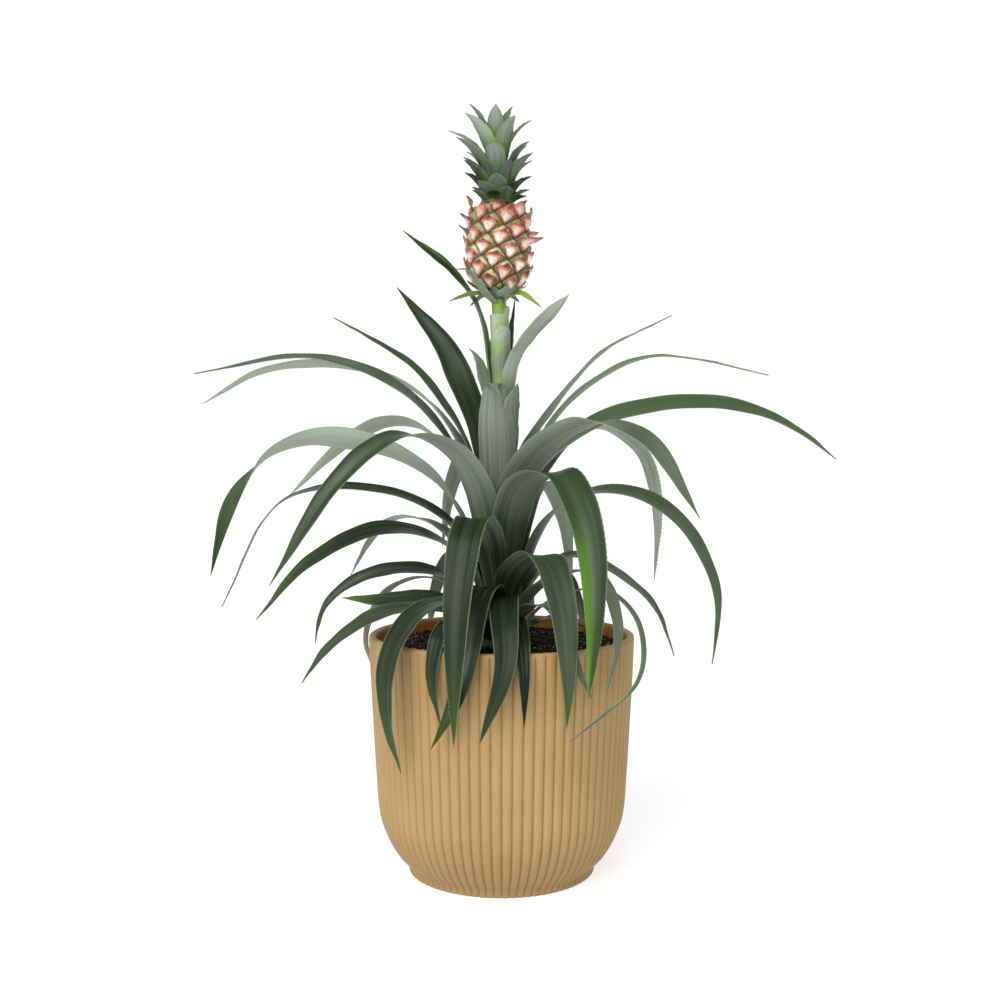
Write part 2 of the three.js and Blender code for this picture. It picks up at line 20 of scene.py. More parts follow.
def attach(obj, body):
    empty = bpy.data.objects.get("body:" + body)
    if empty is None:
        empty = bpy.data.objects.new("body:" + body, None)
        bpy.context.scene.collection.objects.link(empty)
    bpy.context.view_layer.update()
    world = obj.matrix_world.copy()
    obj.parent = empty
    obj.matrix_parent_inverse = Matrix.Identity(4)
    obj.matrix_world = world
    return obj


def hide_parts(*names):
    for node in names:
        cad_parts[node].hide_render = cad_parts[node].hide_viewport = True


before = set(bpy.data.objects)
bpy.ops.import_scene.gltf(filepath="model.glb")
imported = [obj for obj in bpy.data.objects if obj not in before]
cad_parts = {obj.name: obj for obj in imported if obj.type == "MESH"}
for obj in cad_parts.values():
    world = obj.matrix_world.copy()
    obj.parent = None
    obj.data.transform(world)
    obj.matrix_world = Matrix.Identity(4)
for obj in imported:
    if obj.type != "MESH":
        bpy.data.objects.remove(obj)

LOG = logging.getLogger("plant")
MM = 0.001
TINY = 1e-12
# Between which of its four nearest points a curve is mixed, level by level, and how finely it is measured
CURVE_PAIRS = (((0, 1), (1, 2), (2, 3)), ((0, 2), (1, 3)), ((1, 2),))
FINER_CURVE = 8
Row = tuple[float, ...]
Piece = bpy.types.Object
Socket = bpy.types.NodeSocket


class Slot(Enum):
    """The record's material slots."""

    POT = "pot"
    SOIL = "soil"
    STEM = "stem"
    FRUIT = "fruit"
    CROWN = "crown"
    LEAF = "leaf"


class Side(Enum):
    """The two faces of a blade, as its attribute holds them."""

    UPPER = 0.0
    UNDER = 1.0


@dataclass(frozen=True)
class Tint:
    """A colour as a painter's chart gives it, each channel from 0 to 255."""

    red: float
    green: float
    blue: float

    @property
    def linear(self) -> tuple[float, float, float, float]:
        """The colour as a shader takes it."""
        channels = []
        for value in (self.red, self.green, self.blue):
            share = value / 255
            low = share <= 0.04045
            channels.append(share / 12.92 if low else ((share + 0.055) / 1.055) ** 2.4)
        return channels[0], channels[1], channels[2], 1.0


# Small tools for shaping


def start_fresh() -> None:
    """Leaves edit mode and deselects everything, so that the next operator acts on its own piece alone."""
    if bpy.context.object is not None and bpy.context.object.mode != "OBJECT":
        bpy.ops.object.mode_set(mode="OBJECT")
    bpy.ops.object.select_all(action="DESELECT")


def make_active(piece: Piece) -> None:
    """Selects one piece alone."""
    start_fresh()
    piece.select_set(True)
    bpy.context.view_layer.objects.active = piece


def coordinates(piece: Piece) -> np.ndarray:
    """The places of a piece's points, one row each."""
    flat = np.empty(len(piece.data.vertices) * 3, dtype=np.float32)
    piece.data.vertices.foreach_get("co", flat)
    return flat.reshape(-1, 3).astype(float)


def place(piece: Piece, points: np.ndarray) -> None:
    """Moves a piece's points to the places given, one row each."""
    piece.data.vertices.foreach_set("co", points.astype(np.float32).ravel())
    piece.data.update()


def paint(piece: Piece, name: str, *values: np.ndarray | float) -> None:
    """Stores a value, or a colour, for each point of a piece.

    Args:
        piece: The piece to paint.
        name: The attribute that the finish reads.
        *values: One value, or three; each is one number for all the points, or a number for each.
    """
    attributes, count = piece.data.attributes, len(piece.data.vertices)
    columns = [np.broadcast_to(value, count).astype(np.float32) for value in values]
    if len(columns) == 1:
        attributes.new(name, "FLOAT", "POINT").data.foreach_set("value", columns[0])
        return
    opaque = np.column_stack([*columns, np.ones(count, dtype=np.float32)])
    attributes.new(name, "FLOAT_COLOR", "POINT").data.foreach_set("color", opaque.ravel())


def apply_modifier(piece: Piece, kind: str, **settings: object) -> None:
    """Adds a modifier with its settings and applies it at once."""
    make_active(piece)
    modifier = piece.modifiers.new(kind.title(), kind)
    for setting, value in settings.items():
        setattr(modifier, setting, value)
    bpy.ops.object.modifier_apply(modifier=modifier.name)


def smooth(piece: Piece, degrees: float = 180) -> None:
    """Shades a piece smooth wherever its faces meet at less than an angle."""
    make_active(piece)
    bpy.ops.object.shade_smooth_by_angle(angle=math.radians(degrees))


def join(pieces: Sequence[Piece], name: str) -> Piece:
    """Joins pieces into the first one and names it."""
    start_fresh()
    for piece in pieces:
        piece.select_set(True)
    bpy.context.view_layer.objects.active = pieces[0]
    if len(pieces) > 1:
        bpy.ops.object.join()
    pieces[0].name = name
    pieces[0].data.name = name
    return pieces[0]


def copies(name: str, model: Piece, frames: np.ndarray) -> Piece:
    """Sets copies of a model into one piece, and removes the model.

    Args:
        name: The piece's name.
        model: The small piece to copy.
        frames: One 3 by 4 matrix for each copy, in metres.

    Returns:
        The piece with all the copies.
    """
    shape = np.column_stack([coordinates(model), np.ones(len(model.data.vertices))])
    faces = [tuple(face.vertices) for face in model.data.polygons]
    bpy.data.objects.remove(model)
    points = np.einsum("nij,vj->nvi", frames, shape).reshape(-1, 3)
    all_faces = [tuple(len(shape) * k + v for v in face) for k in range(len(frames)) for face in faces]
    mesh = bpy.data.meshes.new(name)
    mesh.from_pydata(points.tolist(), [], all_faces)
    piece = bpy.data.objects.new(name, mesh)
    bpy.context.scene.collection.objects.link(piece)
    return piece


def settle(piece: Piece, slot: Slot, material: bpy.types.Material, *nodes: str) -> None:
    """Gives a finished piece its finish and its place in the model.

    Args:
        piece: The finished piece.
        slot: The record's slot; its name is the CAD node hidden when no nodes are given.
        material: Its finish.
        *nodes: The CAD nodes it stands for; without any, the node that has the slot's name.
    """
    piece.data.materials.clear()
    piece.data.materials.append(material)
    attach(piece, "root")
    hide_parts(*(nodes or (slot.value,)))
    LOG.info("%s: %d faces", piece.name, len(piece.data.polygons))


def turned(name: str, profile: np.ndarray, segments: int) -> Piece:
    """Draws a ring out along a profile, as on a lathe, and closes both of its ends.

    Args:
        name: The piece's name.
        profile: Radius and height of each ring, in mm, one row each.
        segments: How many points each ring has.

    Returns:
        The closed piece.
    """
    start_fresh()
    (radius, height), *others = profile.tolist()
    bpy.ops.mesh.primitive_circle_add(vertices=segments, radius=radius * MM, location=(0, 0, height * MM))
    piece = bpy.context.object
    piece.name = name
    bpy.ops.object.transform_apply(location=True)
    bpy.ops.object.mode_set(mode="EDIT")
    bpy.ops.mesh.select_all(action="SELECT")
    for next_radius, next_height in others:
        rise = (next_height - height) * MM
        bpy.ops.mesh.extrude_region_move(TRANSFORM_OT_translate={"value": (0, 0, rise)})
        ratio = next_radius / radius
        bpy.ops.transform.resize(value=(ratio, ratio, 1))
        radius, height = next_radius, next_height
    bpy.ops.mesh.select_all(action="SELECT")
    bpy.ops.mesh.fill_holes(sides=0)
    bpy.ops.mesh.normals_make_consistent(inside=False)
    bpy.ops.object.mode_set(mode="OBJECT")
    return piece


def eased(low: float, high: float, value: np.ndarray) -> np.ndarray:
    """Rises smoothly from 0 at the low value to 1 at the high one."""
    share = np.clip((value - low) / (high - low), 0, 1)
    return share * share * (3 - 2 * share)


def through(points: np.ndarray, count: int, finer_end: float = 1.0) -> np.ndarray:
    """Runs a smooth curve through points.

    Args:
        points: One row each, of any length; the first three columns give the spacing along the curve.
        count: How many points to return.
        finer_end: Above 1, the returned points crowd towards the end.

    Returns:
        The points along the curve, with the columns they came with.
    """
    steps = np.linalg.norm(np.diff(points[:, :3], axis=0), axis=1) ** 0.5
    knots = np.concatenate([[0], np.cumsum(steps)])
    padded = np.vstack([2 * points[0] - points[1], points, 2 * points[-1] - points[-2]])
    marks = np.concatenate([[-steps[0]], knots, [knots[-1] + steps[-1]]])
    fine = np.linspace(0, knots[-1], count * FINER_CURVE)
    found = np.clip(np.searchsorted(knots, fine, side="right") - 1, 0, len(knots) - 2)
    out = np.empty((len(fine), points.shape[1]))
    for row, (mark, k) in enumerate(zip(fine, found)):
        at = marks[k : k + 4]
        level = list(padded[k : k + 4])
        for pairs in CURVE_PAIRS:
            level = [
                (at[b] - mark) / (at[b] - at[a]) * low + (mark - at[a]) / (at[b] - at[a]) * high
                for (a, b), low, high in zip(pairs, level, level[1:])
            ]
        out[row] = level[0]
    lengths = np.concatenate([[0], np.cumsum(np.linalg.norm(np.diff(out[:, :3], axis=0), axis=1))])
    wanted = (1 - (1 - np.linspace(0, 1, count)) ** finer_end) * lengths[-1]
    return np.column_stack([np.interp(wanted, lengths, column) for column in out.T])


def read_rows(rows: Sequence[Row], at: np.ndarray | float) -> np.ndarray:
    """Reads a table of places and values at the places given, straight between its rows."""
    places, values = zip(*rows)
    return np.interp(at, places, values)


def radius_of(profile: Sequence[Row], height: np.ndarray | float) -> np.ndarray:
    """Reads the radius at a height, or at each of several, from a profile's rows of radius and height."""
    radii, heights = zip(*profile)
    return np.interp(height, heights, radii)


def unit_rows(rows: np.ndarray) -> np.ndarray:
    """Brings each row to a length of 1."""
    return rows / np.maximum(np.linalg.norm(rows, axis=1), TINY)[:, None]


def polar(points: np.ndarray) -> tuple[np.ndarray, np.ndarray, np.ndarray]:
    """How far from the upright axis points stand, in which direction in degrees, and how high."""
    radius = np.hypot(points[:, 0], points[:, 1]) / MM
    return radius, np.degrees(np.arctan2(points[:, 1], points[:, 0])), points[:, 2] / MM


# Finishes


class Graph:
    """Builds the nodes of one material."""

    def __init__(self, name: str) -> None:
        """Starts an empty material."""
        self.material = bpy.data.materials.new(name)
        self.material.use_nodes = True
        self.tree = self.material.node_tree
        self.tree.nodes.clear()

    def node(
        self, kind: str, settings: dict[str, object] | None = None, **inputs: object
    ) -> bpy.types.Node:
        """Adds a node.

        Args:
            kind: The node's type.
            settings: Its settings by name.
            **inputs: A value or a socket for each input, with spaces in its name written as underscores.

        Returns:
            The node.
        """
        made = self.tree.nodes.new(kind)
        for setting, value in (settings or {}).items():
            setattr(made, setting, value)
        for name, value in inputs.items():
            self.feed(made.inputs[name.replace("_", " ")], value)
        return made

    def feed(self, socket: bpy.types.NodeSocket, value: object) -> None:
        """Sets a socket to a value, or links it to another socket."""
        if isinstance(value, bpy.types.NodeSocket):
            self.tree.links.new(value, socket)
        elif isinstance(value, Tint):
            socket.default_value = value.linear
        else:
            socket.default_value = value

    def attribute(self, name: str, output: str = "Fac") -> Socket:
        """Reads an attribute that was painted on the piece."""
        return self.node("ShaderNodeAttribute", {"attribute_name": name}).outputs[output]

    def channels(self, name: str) -> tuple[Socket, ...]:
        """Reads the three channels of a painted colour."""
        split = self.node("ShaderNodeSeparateColor", Color=self.attribute(name, "Color"))
        return tuple(split.outputs[channel] for channel in ("Red", "Green", "Blue"))

    def coordinate(self, stretch: Row = (1, 1, 1)) -> Socket:
        """The place on the object, stretched."""
        source = self.node("ShaderNodeTexCoord").outputs["Object"]
        return self.node("ShaderNodeMapping", Vector=source, Scale=stretch).outputs["Vector"]

    def cloud(self, scale: float, detail: float = 3, stretch: Row = (1, 1, 1)) -> Socket:
        """A cloud pattern from 0 to 1, by the place on the object."""
        inputs = {"Vector": self.coordinate(stretch), "Scale": scale, "Detail": detail}
        return self.node("ShaderNodeTexNoise", **inputs).outputs["Fac"]

    def strands(self, stretch: Row, own: Socket, detail: float = 2) -> Socket:
        """A pattern from 0 to 1 by the place across and along a blade, another one for each own number."""
        source = self.node("ShaderNodeUVMap", {"uv_map": "UVMap"}).outputs["UV"]
        place_on_blade = self.node("ShaderNodeMapping", Vector=source, Scale=stretch).outputs["Vector"]
        inputs = {"Vector": place_on_blade, "W": own, "Scale": 1, "Detail": detail}
        return self.node("ShaderNodeTexNoise", {"noise_dimensions": "4D"}, **inputs).outputs["Fac"]

    def math(self, operation: str, first: object, second: object) -> Socket:
        """Works out one sum, held between 0 and 1."""
        made = self.node("ShaderNodeMath", {"operation": operation, "use_clamp": True})
        self.feed(made.inputs[0], first)
        self.feed(made.inputs[1], second)
        return made.outputs[0]

    def times(self, first: object, second: object) -> Socket:
        """Multiplies two values."""
        return self.math("MULTIPLY", first, second)

    def added(self, first: object, *others: object) -> Socket:
        """Adds values up, one after the other."""
        for other in others:
            first = self.math("ADD", first, other)
        return first

    def between(
        self, value: Socket, low: float, high: float, to_low: float = 0, to_high: float = 1
    ) -> Socket:
        """Carries a value from one range to another and holds it there."""
        made = self.node("ShaderNodeMapRange", {"interpolation_type": "SMOOTHSTEP"})
        ends = {"Value": value, "From Min": low, "From Max": high, "To Min": to_low, "To Max": to_high}
        for name, number in ends.items():
            self.feed(made.inputs[name], number)
        return made.outputs["Result"]

    def mix(self, factor: Socket, first: object, second: object) -> Socket:
        """Mixes two colours."""
        made = self.node("ShaderNodeMix", {"data_type": "RGBA"})
        self.feed(made.inputs[0], factor)
        self.feed(made.inputs[6], first)
        self.feed(made.inputs[7], second)
        return made.outputs[2]

    def bump(self, height: Socket, depth: float, under: Socket | None = None) -> Socket:
        """Raises a pattern by a depth in mm, on top of another one if it is given."""
        made = self.node("ShaderNodeBump", Height=height, Distance=depth * MM, Strength=1.0)
        if under is not None:
            self.feed(made.inputs["Normal"], under)
        return made.outputs["Normal"]

    def done(
        self, color: Socket, roughness: Socket | float, normal: Socket | None = None, **constants: object
    ) -> bpy.types.Material:
        """Closes the material with its shader.

        Args:
            color: The base colour.
            roughness: The roughness.
            normal: The relief, if there is any.
            **constants: Other inputs of the shader, with spaces in their names written as underscores.

        Returns:
            The finished material.
        """
        shader = self.node("ShaderNodeBsdfPrincipled", Base_Color=color, Roughness=roughness, **constants)
        if normal is not None:
            self.feed(shader.inputs["Normal"], normal)
        self.node("ShaderNodeOutputMaterial", Surface=shader.outputs["BSDF"])
        return self.material


# In the finishes each scale is a pattern's fineness in clouds to the metre, and each depth is in mm.


@dataclass(frozen=True)
class PotFinish:
    """Smooth matte moulded plastic, a little darker between the foot's two heights in metres, where painted
    shade darkens it.
    """

    body: Tint = Tint(161, 130, 83)
    worn: Tint = Tint(169, 138, 91)
    # painted shade: the colour the pot darkens to at its foot
    foot: Tint = Tint(152, 121, 76)
    inside: Tint = Tint(180, 118, 40)
    shaded_foot_heights: Row = (0.004, 0.045)
    cloud_scale: float = 22
    grain_scale: float = 1800
    grain_depth: float = 0.03
    roughness: Row = (0.5, 0.6)
    shine: float = 0.3

    def material(self) -> bpy.types.Material:
        """Builds the finish."""
        graph = Graph("pot_plastic")
        cloud = graph.cloud(self.cloud_scale, 4)
        color = graph.mix(graph.between(cloud, 0.35, 0.7), self.body, self.worn)
        height = graph.node("ShaderNodeSeparateXYZ", Vector=graph.coordinate()).outputs["Z"]
        # Painted shade: darker towards the foot, below the upper of the two heights.
        color = graph.mix(graph.between(height, *self.shaded_foot_heights), self.foot, color)
        color = graph.mix(graph.attribute("inner"), color, self.inside)
        roughness = graph.between(cloud, 0.2, 0.8, *self.roughness)
        relief = graph.bump(graph.cloud(self.grain_scale, 2), self.grain_depth)
        return graph.done(color, roughness, relief, Specular_IOR_Level=self.shine)


@dataclass(frozen=True)
class SoilFinish:
    """Damp dark peat with a few light specks, and small painted highlights in the specks' colour."""

    dark: Tint = Tint(25, 13, 8)
    brown: Tint = Tint(64, 42, 29)
    speck: Tint = Tint(196, 172, 146)
    clod_scale: float = 260
    clod_depth: float = 1.4
    cell_scale: float = 900
    cell_depth: float = 0.8
    glint_scale: float = 700
    glint_share: float = 0.35
    roughness: float = 0.82
    shine: float = 0.2

    def material(self) -> bpy.types.Material:
        """Builds the finish."""
        graph = Graph("peat")
        clod = graph.cloud(self.clod_scale, 6)
        color = graph.mix(graph.between(clod, 0.45, 0.75), self.dark, self.brown)
        color = graph.mix(graph.attribute("speck"), color, self.speck)
        # Painted highlight: small glints in the specks' colour scattered over the peat.
        glint = graph.between(graph.cloud(self.glint_scale, 2), 0.66, 0.74)
        color = graph.mix(graph.times(glint, self.glint_share), color, self.speck)
        cells = graph.node("ShaderNodeTexVoronoi", Vector=graph.coordinate(), Scale=self.cell_scale)
        relief = graph.bump(cells.outputs["Distance"], self.cell_depth, graph.bump(clod, self.clod_depth))
        return graph.done(color, self.roughness, relief, Specular_IOR_Level=self.shine)


@dataclass(frozen=True)
class BladeFinish:
    """A leaf: green above with a mealy bloom, pale and finely lined underneath, with thin pale margins.

    The paint holds how deep the green is, how much of it is fresh growth, and how much bloom is on it;
    the bloom channel also carries the leaves' painted highlights.
    Each stretch says how often a pattern comes across and along the blade, and each swing by how much it
    lightens and darkens the face.

    Attributes:
        margin_share: How strong the pale margins are.
        margin_from: Between which places across the blade a margin begins; 1 is its edge.
        lining: How strong the fine lines are.
        gloss: The roughness of bare green.
        bloom_dulls: How much rougher full bloom makes it.
        under_dulls: How much rougher the under face is.
    """

    name: str = "leaf_blade"
    pale: Tint = Tint(62, 88, 43)
    deep: Tint = Tint(10, 23, 7)
    fresh: Tint = Tint(84, 128, 28)
    bloom: Tint = Tint(140, 152, 136)
    under_pale: Tint = Tint(168, 180, 162)
    under_deep: Tint = Tint(30, 38, 27)
    margin: Tint = Tint(128, 148, 116)
    margin_share: float = 0.5
    margin_from: Row = (0.91, 0.98)
    lining: float = 0.14
    gloss: float = 0.36
    bloom_dulls: float = 0.18
    under_dulls: float = 0.12
    shine: float = 0.16
    band_stretch: Row = (5, 0.6, 1)
    band_swing: Row = (-0.15, 0.13)
    band_depth: float = 0.3
    streak_stretch: Row = (20, 0.9, 1)
    streak_swing: Row = (-0.09, 0.09)
    line_stretch: Row = (70, 1.2, 1)
    line_depth: float = 0.04
    break_stretch: Row = (1.2, 2.5, 1)
    under_band_swing: Row = (-0.09, 0.09)
    under_streak_swing: Row = (-0.03, 0.04)
    cloud_scale: float = 45

    def material(self) -> bpy.types.Material:
        """Builds the finish."""
        graph = Graph(self.name)
        depth, fresh, bloom = graph.channels("paint")
        under, across, own = (graph.attribute(name) for name in ("under", "across", "own"))
        band, streak, broken = (
            graph.strands(stretch, own)
            for stretch in (self.band_stretch, self.streak_stretch, self.break_stretch)
        )
        line = graph.strands(self.line_stretch, own, 3)
        cloud = graph.cloud(self.cloud_scale)
        tone = graph.added(
            depth,
            graph.between(band, 0.3, 0.7, *self.band_swing),
            graph.between(streak, 0.35, 0.65, *self.streak_swing),
        )
        upper = graph.mix(tone, self.pale, self.deep)
        upper = graph.mix(graph.between(line, 0.5, 0.72, 0, self.lining), upper, self.pale)
        # The bloom colour also stands for painted highlights, which the leaves add to the bloom channel.
        meal = graph.times(bloom, graph.between(cloud, 0.25, 0.7, 0.6, 1.0))
        meal = graph.times(meal, graph.between(band, 0.35, 0.6, 0.75, 1.0))
        upper = graph.mix(meal, upper, self.bloom)
        shade = graph.added(
            depth,
            graph.between(line, 0.35, 0.65, -self.lining / 3, self.lining / 3),
            graph.between(band, 0.3, 0.7, *self.under_band_swing),
            graph.between(streak, 0.35, 0.65, *self.under_streak_swing),
        )
        lower = graph.mix(shade, self.under_pale, self.under_deep)
        color = graph.mix(fresh, graph.mix(under, upper, lower), self.fresh)
        edge = graph.between(across, *self.margin_from, 0, self.margin_share)
        edge = graph.times(edge, graph.between(broken, 0.35, 0.6, 0.3, 1.0))
        color = graph.mix(edge, color, self.margin)
        relief = graph.bump(line, self.line_depth, graph.bump(band, self.band_depth))
        dull = graph.added(graph.times(bloom, self.bloom_dulls), graph.times(under, self.under_dulls))
        return graph.done(color, graph.added(dull, self.gloss), relief, Specular_IOR_Level=self.shine)


@dataclass(frozen=True)
class StalkFinish:
    """Bright green stalk under pale mealy sheaths.

    The paint holds how much of the green shows, how much painted shade lies along a sheath's edge, and how
    dry and papery the sheath is.
    """

    green: Tint = Tint(124, 158, 50)
    sheath: Tint = Tint(118, 130, 106)
    lines: Tint = Tint(84, 102, 70)
    papery: Tint = Tint(166, 176, 158)
    fibre_stretch: Row = (900, 900, 30)
    fibre_depth: float = 0.15
    meal_scale: float = 350
    meal_depth: float = 0.1
    roughness: float = 0.48
    shine: float = 0.4

    def material(self) -> bpy.types.Material:
        """Builds the finish."""
        graph = Graph("stalk_skin")
        fresh, shade, dry = graph.channels("paint")
        fibre = graph.cloud(1, stretch=self.fibre_stretch)
        meal = graph.cloud(self.meal_scale, 4)
        skin = graph.mix(graph.between(fibre, 0.4, 0.65, 0, 0.5), self.sheath, self.lines)
        skin = graph.mix(graph.times(dry, graph.between(meal, 0.3, 0.6, 0.6, 1.0)), skin, self.papery)
        color = graph.mix(fresh, skin, self.green)
        color = graph.mix(graph.between(meal, 0.5, 0.8, 0, 0.25), color, self.sheath)
        color = graph.mix(shade, color, self.lines)
        relief = graph.bump(fibre, self.fibre_depth, graph.bump(meal, self.meal_depth))
        return graph.done(color, self.roughness, relief, Specular_IOR_Level=self.shine)


@dataclass(frozen=True)
class FruitFinish:
    """Pale olive domes between grooves, and pink bracts with brown-red edges.

    The paint holds how much of a point is bract, how near it is to an edge or groove, and how much painted
    highlight it has.
    A bract's edge colour also holds painted shade down one side.
    """

    dome: Tint = Tint(112, 104, 46)
    # painted highlight on the upper edge of each dome
    dome_highlight: Tint = Tint(208, 208, 166)
    groove: Tint = Tint(64, 48, 14)
    pink: Tint = Tint(222, 138, 100)
    # painted highlight in the middle of each bract
    highlight_pink: Tint = Tint(255, 236, 228)
    edge: Tint = Tint(92, 32, 10)
    cloud_scale: float = 420
    cloud_depth: float = 0.15
    fine_scale: float = 1500
    fine_depth: float = 0.06
    stain_scale: float = 800
    stain_share: float = 0.55
    roughness: float = 0.4
    shine: float = 0.42

    def material(self) -> bpy.types.Material:
        """Builds the finish."""
        graph = Graph("fruitlet_skin")
        bract, rim, light = graph.channels("paint")
        cloud = graph.cloud(self.cloud_scale, 4)
        fine = graph.cloud(self.fine_scale, 2)
        stains = graph.cloud(self.stain_scale)
        patchy = graph.between(cloud, 0.3, 0.7, 0.35, 1.0)
        # Painted highlights: the third paint channel lightens the domes' tops and the bracts' middles.
        dome = graph.mix(graph.times(light, patchy), self.dome, self.dome_highlight)
        dome = graph.mix(rim, dome, self.groove)
        petal = graph.mix(light, self.pink, self.highlight_pink)
        petal = graph.mix(graph.times(rim, graph.between(cloud, 0.3, 0.6, 0.6, 1.0)), petal, self.edge)
        color = graph.mix(bract, dome, petal)
        color = graph.mix(graph.between(fine, 0.58, 0.75, 0, 0.35), color, self.highlight_pink)
        color = graph.mix(graph.between(stains, 0.52, 0.68, 0, self.stain_share), color, self.edge)
        relief = graph.bump(fine, self.fine_depth, graph.bump(cloud, self.cloud_depth))
        return graph.done(color, self.roughness, relief, Specular_IOR_Level=self.shine)


@dataclass(frozen=True)
class FloorFinish:
    """Pale matte studio paper, lit evenly through from below."""

    paper: Tint = Tint(182, 182, 182)
    fibre: Tint = Tint(179, 179, 179)
    shine: Tint = Tint(255, 255, 255)
    glow: float = 0.7

    def material(self) -> bpy.types.Material:
        """Builds the finish."""
        graph = Graph("studio_paper")
        paper = graph.mix(graph.cloud(3, 2), self.paper, self.fibre)
        glow = {"Emission_Color": self.shine, "Emission_Strength": self.glow}
        return graph.done(paper, 0.9, Specular_IOR_Level=0.1, **glow)


# Blades


@dataclass
class Rails:
    """A blade's left margin, middle line and right margin, from foot to tip, one row for each station."""

    left: np.ndarray
    middle: np.ndarray
    right: np.ndarray


def ring_layers(node: str) -> tuple[np.ndarray, list[np.ndarray]]:
    """Reads the rings of points along a CAD blade.

    Args:
        node: The CAD node's name.

    Returns:
        The tip, and each ring of six points in order round the blade, from foot to tip.
    """
    mesh = bmesh.new()
    mesh.from_mesh(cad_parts[node].data)
    bmesh.ops.remove_doubles(mesh, verts=mesh.verts, dist=1e-6)
    for tip in mesh.verts:
        layers = [[tip]]
        seen = {tip}
        while True:
            reached = {e.other_vert(v) for v in layers[-1] for e in v.link_edges} - seen
            if not reached:
                break
            seen |= reached
            layers.append(sorted(reached, key=lambda v: v.index))
        if all(len(layer) == 6 for layer in layers[1:]):
            rings = [np.array([v.co[:] for v in ordered_ring(layer)]) for layer in reversed(layers[1:])]
            place_of_tip = np.array(tip.co[:])
            mesh.free()
            return place_of_tip, rings
    raise ValueError(f"{node} has no rings of six")


def ordered_ring(layer: list[bmesh.types.BMVert]) -> list[bmesh.types.BMVert]:
    """Puts the points of one ring in order round the blade."""
    members = set(layer)

    def on_ring(edge: bmesh.types.BMEdge) -> bool:
        """Whether an edge runs round the blade, and isn't inside its end face."""
        inside = all(v in members for v in edge.verts)
        return inside and any(v not in members for face in edge.link_faces for v in face.verts)

    ring = [layer[0]]
    while len(ring) < len(layer):
        near = [e.other_vert(ring[-1]) for e in ring[-1].link_edges if on_ring(e)]
        ring.append(next(v for v in near if v not in ring))
    return ring


def blade_rails(node: str) -> Rails:
    """Reads a CAD blade's margins and middle line.

    Args:
        node: The CAD node's name.

    Returns:
        Its rails, in metres, with the left one on the left of who looks along the blade from above it.
    """
    tip, rings = ring_layers(node)
    spans = [max(np.linalg.norm(ring[k] - ring[k - 3]) for k in range(3)) for ring in rings]
    widest = int(np.argmax(spans))

    def thinness(start: int) -> float:
        """How thin the blade is where two opposite edges of the widest ring are taken as its margins."""
        ring = np.roll(rings[widest], -start, axis=0)
        return float(np.linalg.norm(ring[0] - ring[1]) + np.linalg.norm(ring[3] - ring[4]))

    ring = np.roll(rings[widest], -min(range(3), key=thinness), axis=0)
    margins_middle = (ring[0] + ring[1] + ring[3] + ring[4]) / 4
    if np.dot(margins_middle - (ring[2] + ring[5]) / 2, ring[2] - ring[5]) < 0:
        ring = ring[[1, 0, 5, 4, 3, 2]]
    rings[widest] = ring

    def matched(ring: np.ndarray, model: np.ndarray) -> np.ndarray:
        """Turns a ring's order round until it lies as its neighbour does."""
        target = model - model.mean(axis=0)
        options = [np.roll(way, -k, axis=0) for way in (ring, ring[::-1]) for k in range(6)]
        return min(options, key=lambda option: np.sum((option - option.mean(axis=0) - target) ** 2))

    for k in range(widest + 1, len(rings)):
        rings[k] = matched(rings[k], rings[k - 1])
    for k in range(widest - 1, -1, -1):
        rings[k] = matched(rings[k], rings[k + 1])
    first = np.array([(ring[0] + ring[1]) / 2 for ring in rings] + [tip])
    middle = np.array([(ring[2] + ring[5]) / 2 for ring in rings] + [tip])
    second = np.array([(ring[3] + ring[4]) / 2 for ring in rings] + [tip])
    ring = rings[widest]
    onward = middle[widest + 1] - middle[widest - 1] if widest else middle[1] - middle[0]
    if np.dot(np.cross(onward, first[widest] - second[widest]), ring[2] - ring[5]) < 0:
        first, second = second, first
    return Rails(first, middle, second)


def rails_from_path(
    points: np.ndarray, half_widths: np.ndarray, azimuth: float, channel: float, roll: float = 0.0
) -> Rails:
    """Lays a blade's rails along a path in an upright plane.

    Args:
        points: Reach, sideways and height of each station, in mm.
        half_widths: Half the blade's width at each station, in mm.
        azimuth: The plane's direction, in degrees from +X towards +Y.
        channel: How far the margins rise over the middle line, as a share of the half width.
        roll: How far the blade's left margin is turned upwards, in degrees.

    Returns:
        The rails, in metres.
    """
    turn = np.array(Matrix.Rotation(math.radians(azimuth), 3, "Z"))
    onward = unit_rows(np.gradient(points, axis=0))
    across = unit_rows(np.array([0.0, 1.0, 0.0]) - onward * onward[:, 1:2])
    upward = np.cross(onward, across)
    cosine, sine = math.cos(math.radians(roll)), math.sin(math.radians(roll))
    offset = (across * cosine + upward * sine) * half_widths[:, None]
    rise = (upward * cosine - across * sine) * (half_widths * channel)[:, None]
    return Rails(
        (points + offset + rise) @ turn.T * MM,
        points @ turn.T * MM,
        (points - offset + rise) @ turn.T * MM,
    )


@dataclass
class Blade:
    """A blade as drawn.

    Attributes:
        piece: Its closed piece.
        across: Each point's place across it, from -1 at its left margin to 1.
        along: Each point's place along it, from 0 to 1.
        under: 1 for each point of its under face, 0 for the others.
    """

    piece: Piece
    across: np.ndarray
    along: np.ndarray
    under: np.ndarray


@dataclass(kw_only=True)
class Warp:
    """How a blade is drawn away from its rails.

    Attributes:
        widths: How wide the blade is against its rails at places along it, from 0 to 1.
        aside: How far its middle moves towards its left rail there, in mm.
        twist: By how many degrees it turns over, and between which places along it.
    """

    widths: tuple[Row, ...] = ((0.0, 1.0), (1.0, 1.0))
    aside: tuple[Row, ...] = ((0.0, 0.0), (1.0, 0.0))
    twist: Row = (0.0, 0.0, 1.0)


